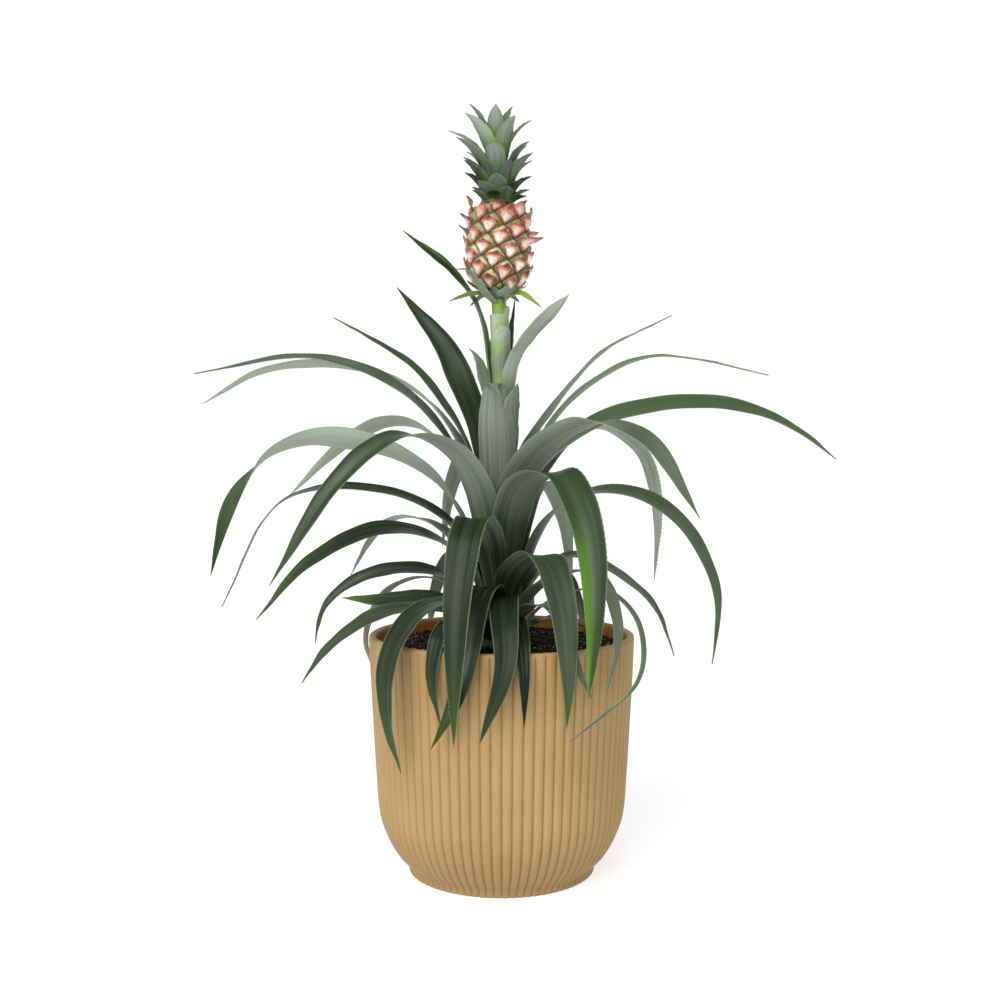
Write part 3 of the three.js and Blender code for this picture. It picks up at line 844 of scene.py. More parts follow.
@dataclass
class BladeShape(Warp):
    """How finely a blade is drawn, and what its surface does between its rails.

    Attributes:
        thickness: How thick it is in its middle, in mm.
        thin_edge: By what share it is thinner at its margins, and how close to them that comes.
        fluting: How deep its lengthwise flutes are, in mm.
        flutes: How close together they lie.
        waviness: How far its margins wave, in mm.
        waves: How fast the long and the short waves run along it, and how strong the short ones are.
        calm_ends: Over what share of the blade the waves fade out at either end.
        most_lift: How high a wave or flute may be, as a share of the half width.
        seed: Chooses its waves and its pattern.
        finer_end: Above 1, its rows crowd towards the tip.
    """

    rows: int = 72
    columns: int = 15
    thickness: float = 0.62
    thin_edge: Row = (0.55, 6)
    fluting: float = 0.10
    flutes: float = 3.5
    waviness: float = 0.25
    waves: Row = (21.0, 47.0, 0.6)
    calm_ends: float = 0.15
    most_lift: float = 0.3
    seed: int = 0
    finer_end: float = 1.25

    def build(self, name: str, rails: Rails) -> Blade:
        """Draws the blade as a closed piece.

        Args:
            name: The piece's name.
            rails: The blade's margins and middle line.

        Returns:
            The blade.
        """
        start_fresh()
        steps = {"x_subdivisions": self.columns - 1, "y_subdivisions": self.rows - 1}
        bpy.ops.mesh.primitive_grid_add(**steps, size=1)
        piece = bpy.context.object
        piece.name = name
        grid = coordinates(piece)
        column = np.rint((grid[:, 0] + 0.5) * (self.columns - 1)).astype(int)
        row = np.rint((grid[:, 1] + 0.5) * (self.rows - 1)).astype(int)
        place(piece, self.surface(rails)[row, column])
        across = column / (self.columns - 1) * 2 - 1
        along = row / (self.rows - 1)
        group = piece.vertex_groups.new(name="body")
        thinner, power = self.thin_edge
        for index, share in enumerate(1 - thinner * np.abs(across) ** power):
            group.add([index], float(share), "REPLACE")
        apply_modifier(piece, "SOLIDIFY", thickness=self.thickness * MM, offset=0.0, vertex_group="body")
        piece.vertex_groups.clear()
        smooth(piece, 60)
        paint(piece, "across", np.abs(np.tile(across, 2)))
        paint(piece, "own", float(self.seed))
        under = np.repeat([Side.UPPER.value, Side.UNDER.value], len(across))
        paint(piece, "under", under)
        return Blade(piece, np.tile(across, 2), np.tile(along, 2), under)

    def surface(self, rails: Rails) -> np.ndarray:
        """The places of the blade's points, by row and column."""
        lines = through(np.hstack([rails.middle, rails.left, rails.right]), self.rows, self.finer_end)
        middle, left, right = lines[:, :3], lines[:, 3:6], lines[:, 6:]
        half = (left - right) / 2
        rise = (left + right) / 2 - middle
        along = 1 - (1 - np.linspace(0, 1, self.rows)) ** self.finer_end
        sideways = unit_rows(half)
        sideways[-1] = sideways[-2]
        middle = middle + sideways * read_rows(self.aside, along)[:, None] * MM
        share = read_rows(self.widths, along)[:, None]
        half, rise = half * share, rise * share
        width = np.linalg.norm(half, axis=1)[:, None]
        upward = unit_rows(np.cross(np.gradient(middle, axis=0), half))
        depth = np.sum(rise * upward, axis=1)[:, None]
        degrees, start, end = self.twist
        turn = np.radians(degrees) * eased(start, end, along)[:, None]
        half, upward = (
            half * np.cos(turn) + upward * width * np.sin(turn),
            upward * np.cos(turn) - unit_rows(half) * np.sin(turn),
        )
        rise = depth * upward
        along = np.linspace(0, 1, self.rows)[:, None]
        chance = random.Random(self.seed)
        phase = [chance.uniform(0, 2 * math.pi) for _ in range(4)]
        fade = eased(0, self.calm_ends, along) * (1 - eased(1 - self.calm_ends, 1, along))
        slow, fast, fast_share = self.waves
        points = np.empty((self.rows, self.columns, 3))
        for k, s in enumerate(np.linspace(1, -1, self.columns)):
            side = 0 if s > 0 else 1
            wave = np.sin(along * slow + phase[side]) + fast_share * np.sin(along * fast + phase[2 + side])
            flute = self.fluting * math.cos(self.flutes * math.pi * s)
            lift = (flute + abs(s) ** 3 * self.waviness * wave) * MM * fade
            lift = np.minimum(lift, width * self.most_lift)
            points[:, k] = middle + half * s + rise * s * s + upward * lift
        return points


# The plant's own parts


@dataclass
class Pot:
    """The ribbed pot.

    Attributes:
        rib_powers: How broad and how steep a rib's back is.
        rib_end: Between which heights the outer ribs run out at the rim.
        foot_share: How much of their depth the ribs have at the foot.
        foot_height: How high they have all of it.
        inner_rib_start: Between which heights the inner ribs begin.
        inner_rib_end: Between which heights they run out.
        outside: Radius and height of the wall's outer face; the rim and the inside follow on from it.
        wall: How far inside the outer face a point counts as inside.
        inside_heights: From which height it may, and up to which it has the inside's colour.
    """

    ribs: int = 80
    points_per_rib: int = 10
    rib_depth: float = 1.35
    inner_rib_depth: float = 0.7
    rib_powers: Row = (2.2, 0.65)
    rib_end: Row = (121.8, 123.7)
    foot_share: float = 0.45
    foot_height: float = 8.0
    inner_rib_start: Row = (60.0, 100.0)
    inner_rib_end: Row = (118.5, 121.5)
    outside: tuple[Row, ...] = (
        (48.8, 0.0), (48.7, 1.4), (48.8, 2.8), (50.4, 5.0), (54.2, 8.8), (57.8, 14.2), (60.9, 20.5),
        (64.0, 30.0), (65.8, 51.0), (67.4, 79.0), (68.4, 98.0), (69.2, 116.0), (69.3, 119.5),
    )
    outside_rings: int = 44
    rim: tuple[Row, ...] = (
        (69.45, 120.6), (69.5, 121.6), (69.4, 122.7), (69.0, 123.5), (68.3, 123.95), (67.4, 124.0),
        (66.5, 123.9), (65.9, 123.4), (65.6, 122.6), (65.5, 121.4),
    )
    inside: tuple[Row, ...] = (
        (65.3, 119.0), (64.9, 113.0), (64.4, 104.0), (63.2, 79.0), (60.0, 30.0), (52.0, 14.0), (43.0, 3.5),
    )
    wall: float = 2.6
    inside_heights: Row = (2.0, 122.5)

    def build(self) -> None:
        """Draws the pot out as one closed wall, then presses its ribs in."""
        outside = through(np.array(self.outside), self.outside_rings)
        profile = np.vstack([outside, self.rim, self.inside])
        piece = turned("ribbed_pot", profile, self.ribs * self.points_per_rib)
        points = coordinates(piece)
        radius, degrees, height = polar(points)
        place_on_rib = np.mod(degrees / 360 * self.ribs, 1.0) * 2 - 1
        breadth, steepness = self.rib_powers
        valley = 1 - np.maximum(1 - np.abs(place_on_rib) ** breadth, 0) ** steepness
        foot = self.foot_share + (1 - self.foot_share) * eased(0, self.foot_height, height)
        outer_depth = self.rib_depth * foot * (1 - eased(*self.rib_end, height))
        inner_depth = -self.inner_rib_depth * eased(*self.inner_rib_start, height)
        inner_depth *= 1 - eased(*self.inner_rib_end, height)
        low, high = self.inside_heights
        inner = (radius < radius_of(self.outside, height) - self.wall) & (height > low)
        depth = np.where(inner, inner_depth, outer_depth)
        points[:, :2] *= (1 - depth * valley / radius)[:, None]
        place(piece, points)
        paint(piece, "inner", inner & (height < high))
        smooth(piece, 50)
        settle(piece, Slot.POT, PotFinish().material())


@dataclass
class Soil:
    """The peat in the pot, with its crumbs.

    Attributes:
        mound: How high it stands round the stem.
        mound_reach: Between which radii the mound sinks to the level.
        hole: The radius of its innermost ring.
        lumps: The fineness and the height of each layer of its roughness.
        calm_edge: How wide the edge is where the lumps get lower, and by what share.
        crumb_sizes: The crumbs' radii, each as likely as the next.
        crumb_stretches: Between which shares a crumb is stretched along each of its axes.
        light_share: How many of the small crumbs are light.
        light_to: Up to which radius a crumb may be light.
        lightness: Between which shares it is, then.
        edge_gap: How far from the wall the crumbs stay.
        empty_middle: The share of the area round the stem that has no crumbs.
        most_tilt: How far a crumb is tilted at most, in radians.
        sunk: How far a crumb's middle stands over the soil, as a share of its radius.
    """

    level: float = 117.4
    mound: float = 117.8
    mound_reach: Row = (8.0, 22.0)
    hole: float = 0.6
    radius: float = 64.5
    rings: int = 62
    segments: int = 190
    wall: tuple[Row, ...] = ((64.2, 110.0), (62.6, 79.0), (59.4, 30.0), (51.4, 14.0), (42.4, 3.8))
    roughness: float = 0.9
    lumps: tuple[Row, ...] = ((0.16, 0.7), (0.42, 0.8), (1.1, 0.4))
    calm_edge: Row = (2.0, 0.7)
    crumbs: int = 3600
    crumb_sizes: Row = (0.3, 0.4, 0.5, 0.6, 0.8, 1.0)
    crumb_stretches: tuple[Row, ...] = ((0.7, 1.5), (0.7, 1.4), (0.5, 0.9))
    light_share: float = 0.4
    light_to: float = 0.7
    lightness: Row = (0.35, 0.9)
    edge_gap: float = 1.6
    empty_middle: float = 0.04
    most_tilt: float = 0.6
    sunk: float = 0.15
    seed: int = 11

    def height_at(self, reach: np.ndarray | float) -> np.ndarray:
        """The soil's smooth height at a distance from its middle."""
        return self.level + (self.mound - self.level) * (1 - eased(*self.mound_reach, reach))

    def build(self) -> None:
        """Draws the soil as one lumpy body and scatters crumbs over it."""
        radii = np.linspace(self.hole, self.radius, self.rings)
        top = np.column_stack([radii, np.full(self.rings, self.level)])
        piece = turned("peat", np.vstack([top, self.wall]), self.segments)
        points = coordinates(piece)
        reach, _, height = polar(points)
        lumps = np.array([self.lump(Vector(p / MM)) for p in points])
        calm_width, calm_share = self.calm_edge
        keep = 1 - eased(self.radius - calm_width, self.radius, reach) * calm_share
        surface = (self.height_at(reach) + lumps * self.roughness * keep) * MM
        points[:, 2] = np.where(height > self.level - 0.5, surface, points[:, 2])
        place(piece, points)
        paint(piece, "speck", 0.0)
        smooth(piece, 40)
        soil = join([piece, self.scatter()], "peat")
        settle(soil, Slot.SOIL, SoilFinish().material())

    def lump(self, spot: Vector) -> float:
        """The soil's roughness at a place, from about -1 to 1."""
        return sum(noise.noise(spot * fineness) * height for fineness, height in self.lumps)

    def scatter(self) -> Piece:
        """Makes the crumbs, each a small uneven lump of its own."""
        chance = random.Random(self.seed)
        start_fresh()
        bpy.ops.mesh.primitive_ico_sphere_add(subdivisions=1, radius=1)
        model = bpy.context.object
        corners = len(model.data.vertices)
        frames = np.zeros((self.crumbs, 3, 4))
        specks = []
        for crumb in frames:
            reach = math.sqrt(chance.uniform(self.empty_middle, 1)) * (self.radius - self.edge_gap)
            angle = chance.uniform(0, 2 * math.pi)
            size = chance.choice(self.crumb_sizes) * chance.uniform(0.8, 1.2)
            stretch = np.diag([chance.uniform(*span) for span in self.crumb_stretches])
            tilt = Matrix.Rotation(chance.uniform(-self.most_tilt, self.most_tilt), 3, "X")
            turn = np.array(Matrix.Rotation(chance.uniform(0, math.pi), 3, "Z") @ tilt)
            height = float(self.height_at(reach)) + size * self.sunk
            crumb[:, :3] = turn @ stretch * size * MM
            crumb[:, 3] = np.array([reach * math.cos(angle), reach * math.sin(angle), height]) * MM
            is_light = chance.random() < self.light_share and size < self.light_to
            specks.append(chance.uniform(*self.lightness) if is_light else 0.0)
        crumbs = copies("crumbs", model, frames)
        paint(crumbs, "speck", np.repeat(specks, corners))
        return crumbs


@dataclass
class Bract:
    """A small leaf under the fruit, its path given as reach and height in mm.

    Attributes:
        azimuth: Its direction in degrees.
        path: Its middle line.
        width: How wide it is.
        fresh: How bright green it is, from 0 to 1.
        depth: How dark it is.
        roll: How far its left margin is turned upwards, in degrees.
        taper: A higher one keeps it broad for longer.
        bloom: How mealy it is.
    """

    azimuth: float
    path: tuple[Row, ...]
    width: float
    fresh: float = 0.4
    depth: float = 0.55
    roll: float = 0.0
    taper: float = 2.2
    bloom: float = 0.4


@dataclass
class Sheath:
    """The top edge of one of the stalk's sheaths, highest where it faces, with green showing over it."""

    height: float
    facing: float


@dataclass
class Stem:
    """The stem, the stalk with its sheaths, and the bracts under the fruit.

    Attributes:
        outline: Radius and height of the stem and of the sheathed stalk.
        neck: Radius and height of the bare stalk over its last sheath.
        levels: The first and last height of a row of rings, and how many there are.
        hem: How high the last sheath ends.
        hem_wave: How uneven that end is.
        hem_flare: How far it stands off the stalk.
        flap: How much higher its flap reaches.
        flap_azimuth: In which direction the flap is.
        flap_spread: How wide the flap is to either side.
        slant: How much lower each sheath's edge is across from its highest place, halved.
        step: How far each sheath's edge stands off the next one.
        step_length: How far below the edge that begins.
        sheaths_from: How high the sheaths begin to show.
        green_length: How far over an edge the green reaches.
        line: How wide the painted shade line along a sheath's edge is, and how dark.
        dry: Between which heights the sheath turns papery.
        bend: How high the stalk begins to lean.
        lean: How far it leans to the left for each mm of height.
        bract_foot: How wide a bract's foot is against its full width, and how far along that is reached.
        bract_tip: Half the width of a bract's very tip.
        bract_channel: How far its margins rise over its middle, as a share of the half width.
    """

    outline: tuple[Row, ...] = (
        (11.0, 94.4), (11.0, 118.0), (12.3, 120.0), (9.5, 165.0), (6.4, 214.0), (4.9, 240.0), (4.7, 262.0),
        (5.0, 291.0),
    )
    neck: tuple[Row, ...] = ((3.7, 289.0), (3.8, 296.5), (4.6, 298.5), (6.6, 301.5))
    levels: tuple[Row, ...] = ((94.4, 106.0, 2), (118.0, 286.0, 110), (286.25, 301.5, 62))
    segments: int = 48
    hem: float = 290.2
    hem_wave: float = 0.25
    hem_flare: float = 0.9
    flap: float = 4.6
    flap_azimuth: float = 332.0
    flap_spread: float = 34.0
    slant: float = 5.0
    step: float = 0.5
    step_length: float = 20.0
    sheaths_from: float = 240.0
    green_length: float = 7.0
    line: Row = (0.6, 0.4)
    dry: Row = (262.0, 285.0)
    bend: float = 256.0
    lean: float = 0.034
    bract_foot: Row = (0.55, 0.3)
    bract_tip: float = 0.05
    bract_channel: float = 0.2
    bract_green: Tint = Tint(126, 162, 44)
    bracts: tuple[Bract, ...] = (
        Bract(205, ((4.0, 298.5), (13.0, 300.5), (28.0, 296.0)), 5, 0.35, 0.75, -35),
        Bract(
            235, ((4.0, 296.0), (13.0, 300.5), (20.0, 306.3), (26.5, 310.3), (36.0, 309.5)), 8, 0.0, 0.35,
            taper=0.9,
        ),
        Bract(335, ((4.0, 299.5), (12.0, 300.8), (24.0, 293.0)), 4.6, 1.0, 0.2, 40),
        Bract(60, ((4.0, 297.0), (11.0, 301.0), (22.0, 299.0)), 6),
        Bract(130, ((4.0, 297.0), (11.0, 301.0), (24.0, 297.0)), 6),
        Bract(292, ((4.5, 298.0), (8.5, 300.5), (12.8, 304.0)), 9, 0.1, 0.35),
        Bract(258, ((4.5, 298.0), (8.0, 300.5), (11.5, 303.5)), 8, 0.1, 0.6),
        Bract(318, ((4.5, 298.5), (8.5, 300.8), (12.5, 304.5)), 8, 0.2, 0.45),
        Bract(283, ((4.5, 298.0), (8.0, 297.5), (10.5, 294.8)), 3.2, 0.0, 0.95),
    )
    sheaths: tuple[Sheath, ...] = (Sheath(284.0, 300.0), Sheath(271.0, 250.0), Sheath(256.0, 290.0))

    def build(self) -> None:
        """Builds the stem and its bracts."""
        levels = np.concatenate([np.linspace(*row) for row in self.levels])
        profile = np.column_stack([radius_of(self.outline, levels), levels])
        stalk = turned("stalk", profile, self.segments)
        points = coordinates(stalk)
        radius, degrees, height = polar(points)
        off = np.abs(np.mod(degrees - self.flap_azimuth + 180, 360) - 180)
        hem = self.hem + self.flap * np.clip(1 - off / self.flap_spread, 0, 1)
        hem += self.hem_wave * np.cos(np.radians(degrees * 3))
        bare = eased(hem - 0.15, hem + 0.3, height)
        bare_radius = radius_of(self.neck, height)
        target = radius + self.hem_flare * eased(self.hem - 2, self.hem + self.flap, height)
        target += (bare_radius - target) * bare
        fresh = bare.copy()
        shade = np.zeros(len(points))
        line_width, line_shade = self.line
        for sheath in self.sheaths:
            facing = np.cos(np.radians(degrees - sheath.facing))
            edge = sheath.height + self.slant * (facing - 1)
            below = height < edge
            step = self.step * np.clip(1 - (edge - height) / self.step_length, 0, 1)
            target += step * below * (height > self.sheaths_from)
            above = np.clip(1 - (height - edge) / self.green_length, 0, 1) * ~below
            fresh = np.maximum(fresh, above * eased(0.3, 0.8, facing))
            shade = np.maximum(shade, np.clip(1 - np.abs(height - edge) / line_width, 0, 1) * line_shade)
        points[:, :2] *= (target / radius)[:, None]
        place(stalk, self.leaned(points))
        dry = eased(*self.dry, height)
        paint(stalk, "paint", fresh, shade * (1 - bare), dry * (1 - bare))
        smooth(stalk, 60)
        settle(stalk, Slot.STEM, StalkFinish().material())
        self.build_bracts()

    def leaned(self, points: np.ndarray) -> np.ndarray:
        """Leans what stands above the stalk's bend to the left."""
        above = np.maximum(points[:, 2] - self.bend * MM, 0)
        return points - np.outer(above * self.lean, (1.0, 0.0, 0.0))

    def build_bracts(self) -> None:
        """Builds the bracts as one piece."""
        made = []
        foot, reached = self.bract_foot
        for number, bract in enumerate(self.bracts):
            path = through(np.array([(reach, 0.0, height) for reach, height in bract.path]), 12)
            along = np.linspace(0, 1, len(path))
            opened = foot + (1 - foot) * eased(0, reached, along)
            halves = bract.width / 2 * opened * (1 - along**bract.taper) + self.bract_tip
            shape = BladeShape(rows=26, columns=9, thickness=0.5, waviness=0.15, seed=40 + number)
            rails = rails_from_path(path, halves, bract.azimuth, self.bract_channel, bract.roll)
            blade = shape.build("bract", rails)
            fresh = bract.fresh * (1 - 0.15 * blade.along)
            paint(blade.piece, "paint", bract.depth, fresh, bract.bloom)
            made.append(blade.piece)
        bracts = join(made, "collar_bracts")
        place(bracts, self.leaned(coordinates(bracts)))
        finish = BladeFinish(name="bract_skin", fresh=self.bract_green)
        settle(bracts, Slot.STEM, finish.material())


@dataclass
class Fruit:
    """The fruit: a barrel of domes in one spiral, each with a shield-shaped bract over its lower half.

    Attributes:
        squareness: How square the barrel's outline is below and above its middle.
        shift: How far it stands off the pot's axis, to the left where negative.
        turn: How far it is turned round its axis, in degrees.
        count: How many fruitlets it has.
        shallow: How many steps of the spiral lie between neighbours of its gentler rows.
        steep: How many lie between neighbours of its steeper rows.
        golden: How far the spiral turns from one fruitlet to the next, in degrees.
        span: Which share of the barrel's height its rings take up.
        spare: How many steps past either end the spiral is followed.
        pillow_power: A higher one makes the domes flatter and the grooves narrower.
        shield: Half the bract's width at places up it, both as shares of a fruitlet's half diagonals.
        broad: How wide a flaring bract is, where it is widest, and how far from there it reaches.
        flaring: How many fruitlets from the top begin to flare, and how many flare fully.
        flares: Bracts that stand far off, as how far up and how many mm out their tips reach.
        free_from: How far up a bract its free tip begins.
        longer: By what share a bract may be shorter or longer than its shield.
        off: How many mm a tip may stand off, and how many more where it flares fully.
        slant: How far a tip may lean to a side.
        wider: Between which shares of its width a bract is drawn.
        rise: How far its middle and its margins stand off the dome.
        curl: How many mm lower or higher its margins may be than its middle.
    """

    base: float = 301.8
    height: float = 45.0
    radius: float = 14.6
    squareness: Row = (3.0, 4.2)
    shift: float = -1.55
    turn: float = -5.0
    count: int = 54
    shallow: int = 5
    steep: int = 8
    golden: float = 180 * (3 - math.sqrt(5))
    span: Row = (0.03, 0.97)
    rings: int = 132
    segments: int = 260
    spare: int = 8
    dome_rise: float = 2.5
    pillow_power: float = 2.6
    seed: int = 5
    shield: tuple[Row, ...] = (
        (-0.95, 0.03), (-0.8, 0.22), (-0.6, 0.43), (-0.38, 0.59), (-0.12, 0.65), (0.06, 0.54), (0.2, 0.34),
        (0.34, 0.16), (0.5, 0.02),
    )
    broad: Row = (0.56, -0.12, 0.62)
    flaring: Row = (15, 4)
    free_from: float = -0.35
    longer: Row = (-0.15, 0.25)
    off: Row = (0.5, 1.8, 2.6)
    slant: float = 0.16
    wider: Row = (0.92, 1.12)
    rise: Row = (0.55, 0.1)
    curl: Row = (-0.5, 0.3)
    flares: dict[int, Row] = field(default_factory=lambda: {
        29: (0.3, 8.5), 43: (0.5, 6.0), 47: (0.9, 7.0), 51: (1.15, 6.0), 45: (0.6, 5.5), 50: (0.6, 5.0),
        38: (0.5, 4.0), 46: (0.9, 3.5), 49: (0.7, 3.5), 48: (0.8, 4.0), 34: (0.4, 3.5),
    })

    @property
    def shallow_turn(self) -> float:
        """How far the spiral of gentle rise turns from one fruitlet to the next, in degrees."""
        return 720 - self.shallow * self.golden

    @property
    def steep_turn(self) -> float:
        """How far the steep spiral turns from one fruitlet to the next, in degrees."""
        return 1080 - self.steep * self.golden

    def radius_at(self, share: np.ndarray) -> np.ndarray:
        """The barrel's radius at a share of its height."""
        off = np.abs(share * 2 - 1)
        power = np.where(share < 0.5, *self.squareness)
        return self.radius * np.maximum(1 - off**power, 0) ** (1 / power)

    def build(self) -> None:
        """Builds the fruit."""
        shares = 0.5 - 0.5 * np.cos(np.linspace(*self.span, self.rings) * math.pi) * 0.985
        profile = np.column_stack([self.radius_at(shares), self.base + self.height * shares])
        barrel = turned("barrel", profile, self.segments)
        points = coordinates(barrel)
        radius, degrees, height = polar(points)
        share = (height - self.base) / self.height
        a, b, number = self.lattice(share * self.count - 0.5, degrees)
        pillow = self.pillow(a, b)
        points[:, :2] *= (1 + self.lift(pillow, share) / radius)[:, None]
        place(barrel, points)
        chance = random.Random(self.seed)
        # Painted highlight on each dome's upper edge, of a random strength for each fruitlet; the rim is
        # the groove's own colour.
        highlight_strength = np.array([chance.uniform(0.35, 1.0) for _ in range(self.count + 2 * self.spare)])
        rim = 1 - eased(0.02, 0.24, pillow)
        dome_highlight = eased(0.0, 0.5, a + b) * highlight_strength[number + self.spare]
        paint(barrel, "paint", 0.0, rim, dome_highlight)
        smooth(barrel)
        fruit = join([barrel, *self.bracts()], "fruit_body")
        points = coordinates(fruit) @ np.array(Matrix.Rotation(math.radians(self.turn), 3, "Z")).T
        place(fruit, points + np.array([self.shift * MM, 0, 0]))
        settle(fruit, Slot.FRUIT, FruitFinish().material())

    def pillow(self, a: np.ndarray, b: np.ndarray) -> np.ndarray:
        """How full a dome stands at places in its diamond: 1 in the middle, 0 in the grooves."""
        fullness = [1 - np.abs(2 * share) ** self.pillow_power for share in (a, b)]
        return np.maximum(fullness[0] * fullness[1], 0)

    def lift(self, pillow: np.ndarray, share: np.ndarray | float) -> np.ndarray:
        """How far the skin stands off the barrel, in mm."""
        ends = eased(0.0, 0.04, share) * (1 - eased(0.97, 1.0, share))
        return self.dome_rise * pillow**0.5 * ends

    def lattice(self, step: np.ndarray, degrees: np.ndarray) -> tuple[np.ndarray, np.ndarray, np.ndarray]:
        """Finds where points stand in their fruitlet's diamond.

        Args:
            step: Each point's height, counted in steps of the spiral.
            degrees: Each point's direction.

        Returns:
            Each point's shares along its diamond's two edges, from -0.5 to 0.5, and its fruitlet's number.
        """
        best = np.full((4, len(step)), np.inf)
        for number in range(-self.spare, self.count + self.spare):
            turn = np.mod(degrees + number * self.golden + 180, 360) - 180
            rise = step - number
            a = (self.steep_turn * rise - self.steep * turn) / -360
            b = (self.shallow * turn - self.shallow_turn * rise) / -360
            size = np.maximum(np.abs(a), np.abs(b))
            found = np.array([size, a, b, np.full(len(step), number)])
            best = np.where(size < best[0], found, best)
        return np.clip(best[1], -0.5, 0.5), np.clip(best[2], -0.5, 0.5), best[3].astype(int)

    def on_skin(self, number: int, up: np.ndarray, side: np.ndarray, raised: np.ndarray) -> np.ndarray:
        """Finds places over one fruitlet.

        Args:
            number: The fruitlet's number up the spiral.
            up: How far up its diamond each place is, from -1 to 1.
            side: How far to its side, from -1 to 1.
            raised: How far off the dome, in mm.

        Returns:
            The places in metres, one row each.
        """
        a, b = (up + side) / 2, (up - side) / 2
        step = number + a * self.shallow + b * self.steep
        degrees = -number * self.golden + a * self.shallow_turn + b * self.steep_turn
        share = (step + 0.5) / self.count
        body = self.radius_at(np.clip(share, *self.span))
        radius = body + self.lift(self.pillow(a, b), 0.5) + raised
        angle = np.radians(degrees)
        height = self.base + self.height * np.maximum(share, 0.01)
        return np.column_stack([radius * np.cos(angle), radius * np.sin(angle), height]) * MM

    def bracts(self) -> list[Piece]:
        """Makes a bract over the lower part of each fruitlet, its tip free. Those at the top flare."""
        chance = random.Random(self.seed)
        up, half = np.array(self.shield).T
        free = np.clip((up - self.free_from) / (up[-1] - self.free_from), 0, 1) ** 2
        most, widest, span = self.broad
        broad = np.maximum(most * np.clip(1 - ((up - widest) / span) ** 2, 0.03, 1), half)
        least_off, most_off, flare_off = self.off
        first, full = self.flaring
        middle_rise, margin_rise = self.rise
        made = []
        for number in range(self.count):
            flare = float(eased(self.count - first, self.count - full, number))
            top = (self.count - 1.2 - number) / ((self.shallow + self.steep) / 2)
            farthest = min(up[-1] * (1.0 + 0.5 * flare + chance.uniform(*self.longer)), top)
            usual = (farthest, chance.uniform(least_off, most_off) + flare_off * flare)
            farthest, out = self.flares.get(number, usual)
            reach = np.where(up > 0, up * farthest / up[-1], up)
            lean = chance.uniform(-self.slant, self.slant) * free
            spread = 1.0 if number in self.flares else flare
            wide = np.where(up > widest, half + (broad - half) * spread, half) * chance.uniform(*self.wider)
            margin = margin_rise + free * (out + chance.uniform(*self.curl))
            rails = Rails(
                self.on_skin(number, reach, lean - wide, margin),
                self.on_skin(number, reach, lean, middle_rise + free * out),
                self.on_skin(number, reach, lean + wide, margin),
            )
            shape = BladeShape(16, 9, thickness=0.3, fluting=0.0, waviness=0.12, seed=number, finer_end=1.0)
            blade = shape.build("bract", rails)
            self.paint_bract(blade, flare, 1 - 0.45 * number / self.count, chance)
            made.append(blade.piece)
        return made

    def paint_bract(self, blade: Blade, flare: float, light: float, chance: random.Random) -> None:
        """Paints a bract: dark round its edge, with painted shade down one side, and a painted highlight in
        its middle.

        Args:
            blade: The bract.
            flare: How much it flares, from 0 to 1; a flaring one is darker.
            light: How strong the painted highlight in its middle may be.
            chance: Where its differences from the others come from.
        """
        across, along = blade.across, blade.along
        edge = np.maximum.reduce([
            # Painted shade: the side at positive across darkens from a random place to its margin.
            eased(chance.uniform(0.1, 0.5), 0.92, across),
            eased(0.55, 0.95, -across) * 0.9,
            eased(0.6, 0.86, along),
            0.8 * (1 - eased(0.02, 0.18, along)),
            flare * (0.4 + 0.6 * along) * chance.uniform(0.6, 1.0),
        ])
        # Painted highlight: pale in the middle of the bract's length, a little to the left of its middle
        # line.
        tone = eased(0.08, 0.28, along) * (1 - eased(0.48, 0.74, along))
        tone = tone * np.clip(1.3 - np.abs(across + 0.15) * 1.4, 0, 1) * chance.uniform(0.65, 1.5) * light
        paint(blade.piece, "paint", 1.0, edge, np.clip(tone, 0, 1))


@dataclass(frozen=True)
class CrownLeaf:
    """A short leaf of the crown, in mm.

    Attributes:
        azimuth: Its direction in degrees.
        root: How high its foot stands on the core.
        reach: How far its tip stands from the core's axis.
        height: How high its tip stands.
        aside: How far its tip stands to the left of who looks out along it.
        width: How wide it is.
        taper: A higher one keeps the leaf broad for longer.
    """

    azimuth: float
    root: float
    reach: float
    height: float
    aside: float = 0.0
    width: float = 9.5
    taper: float = 2.6


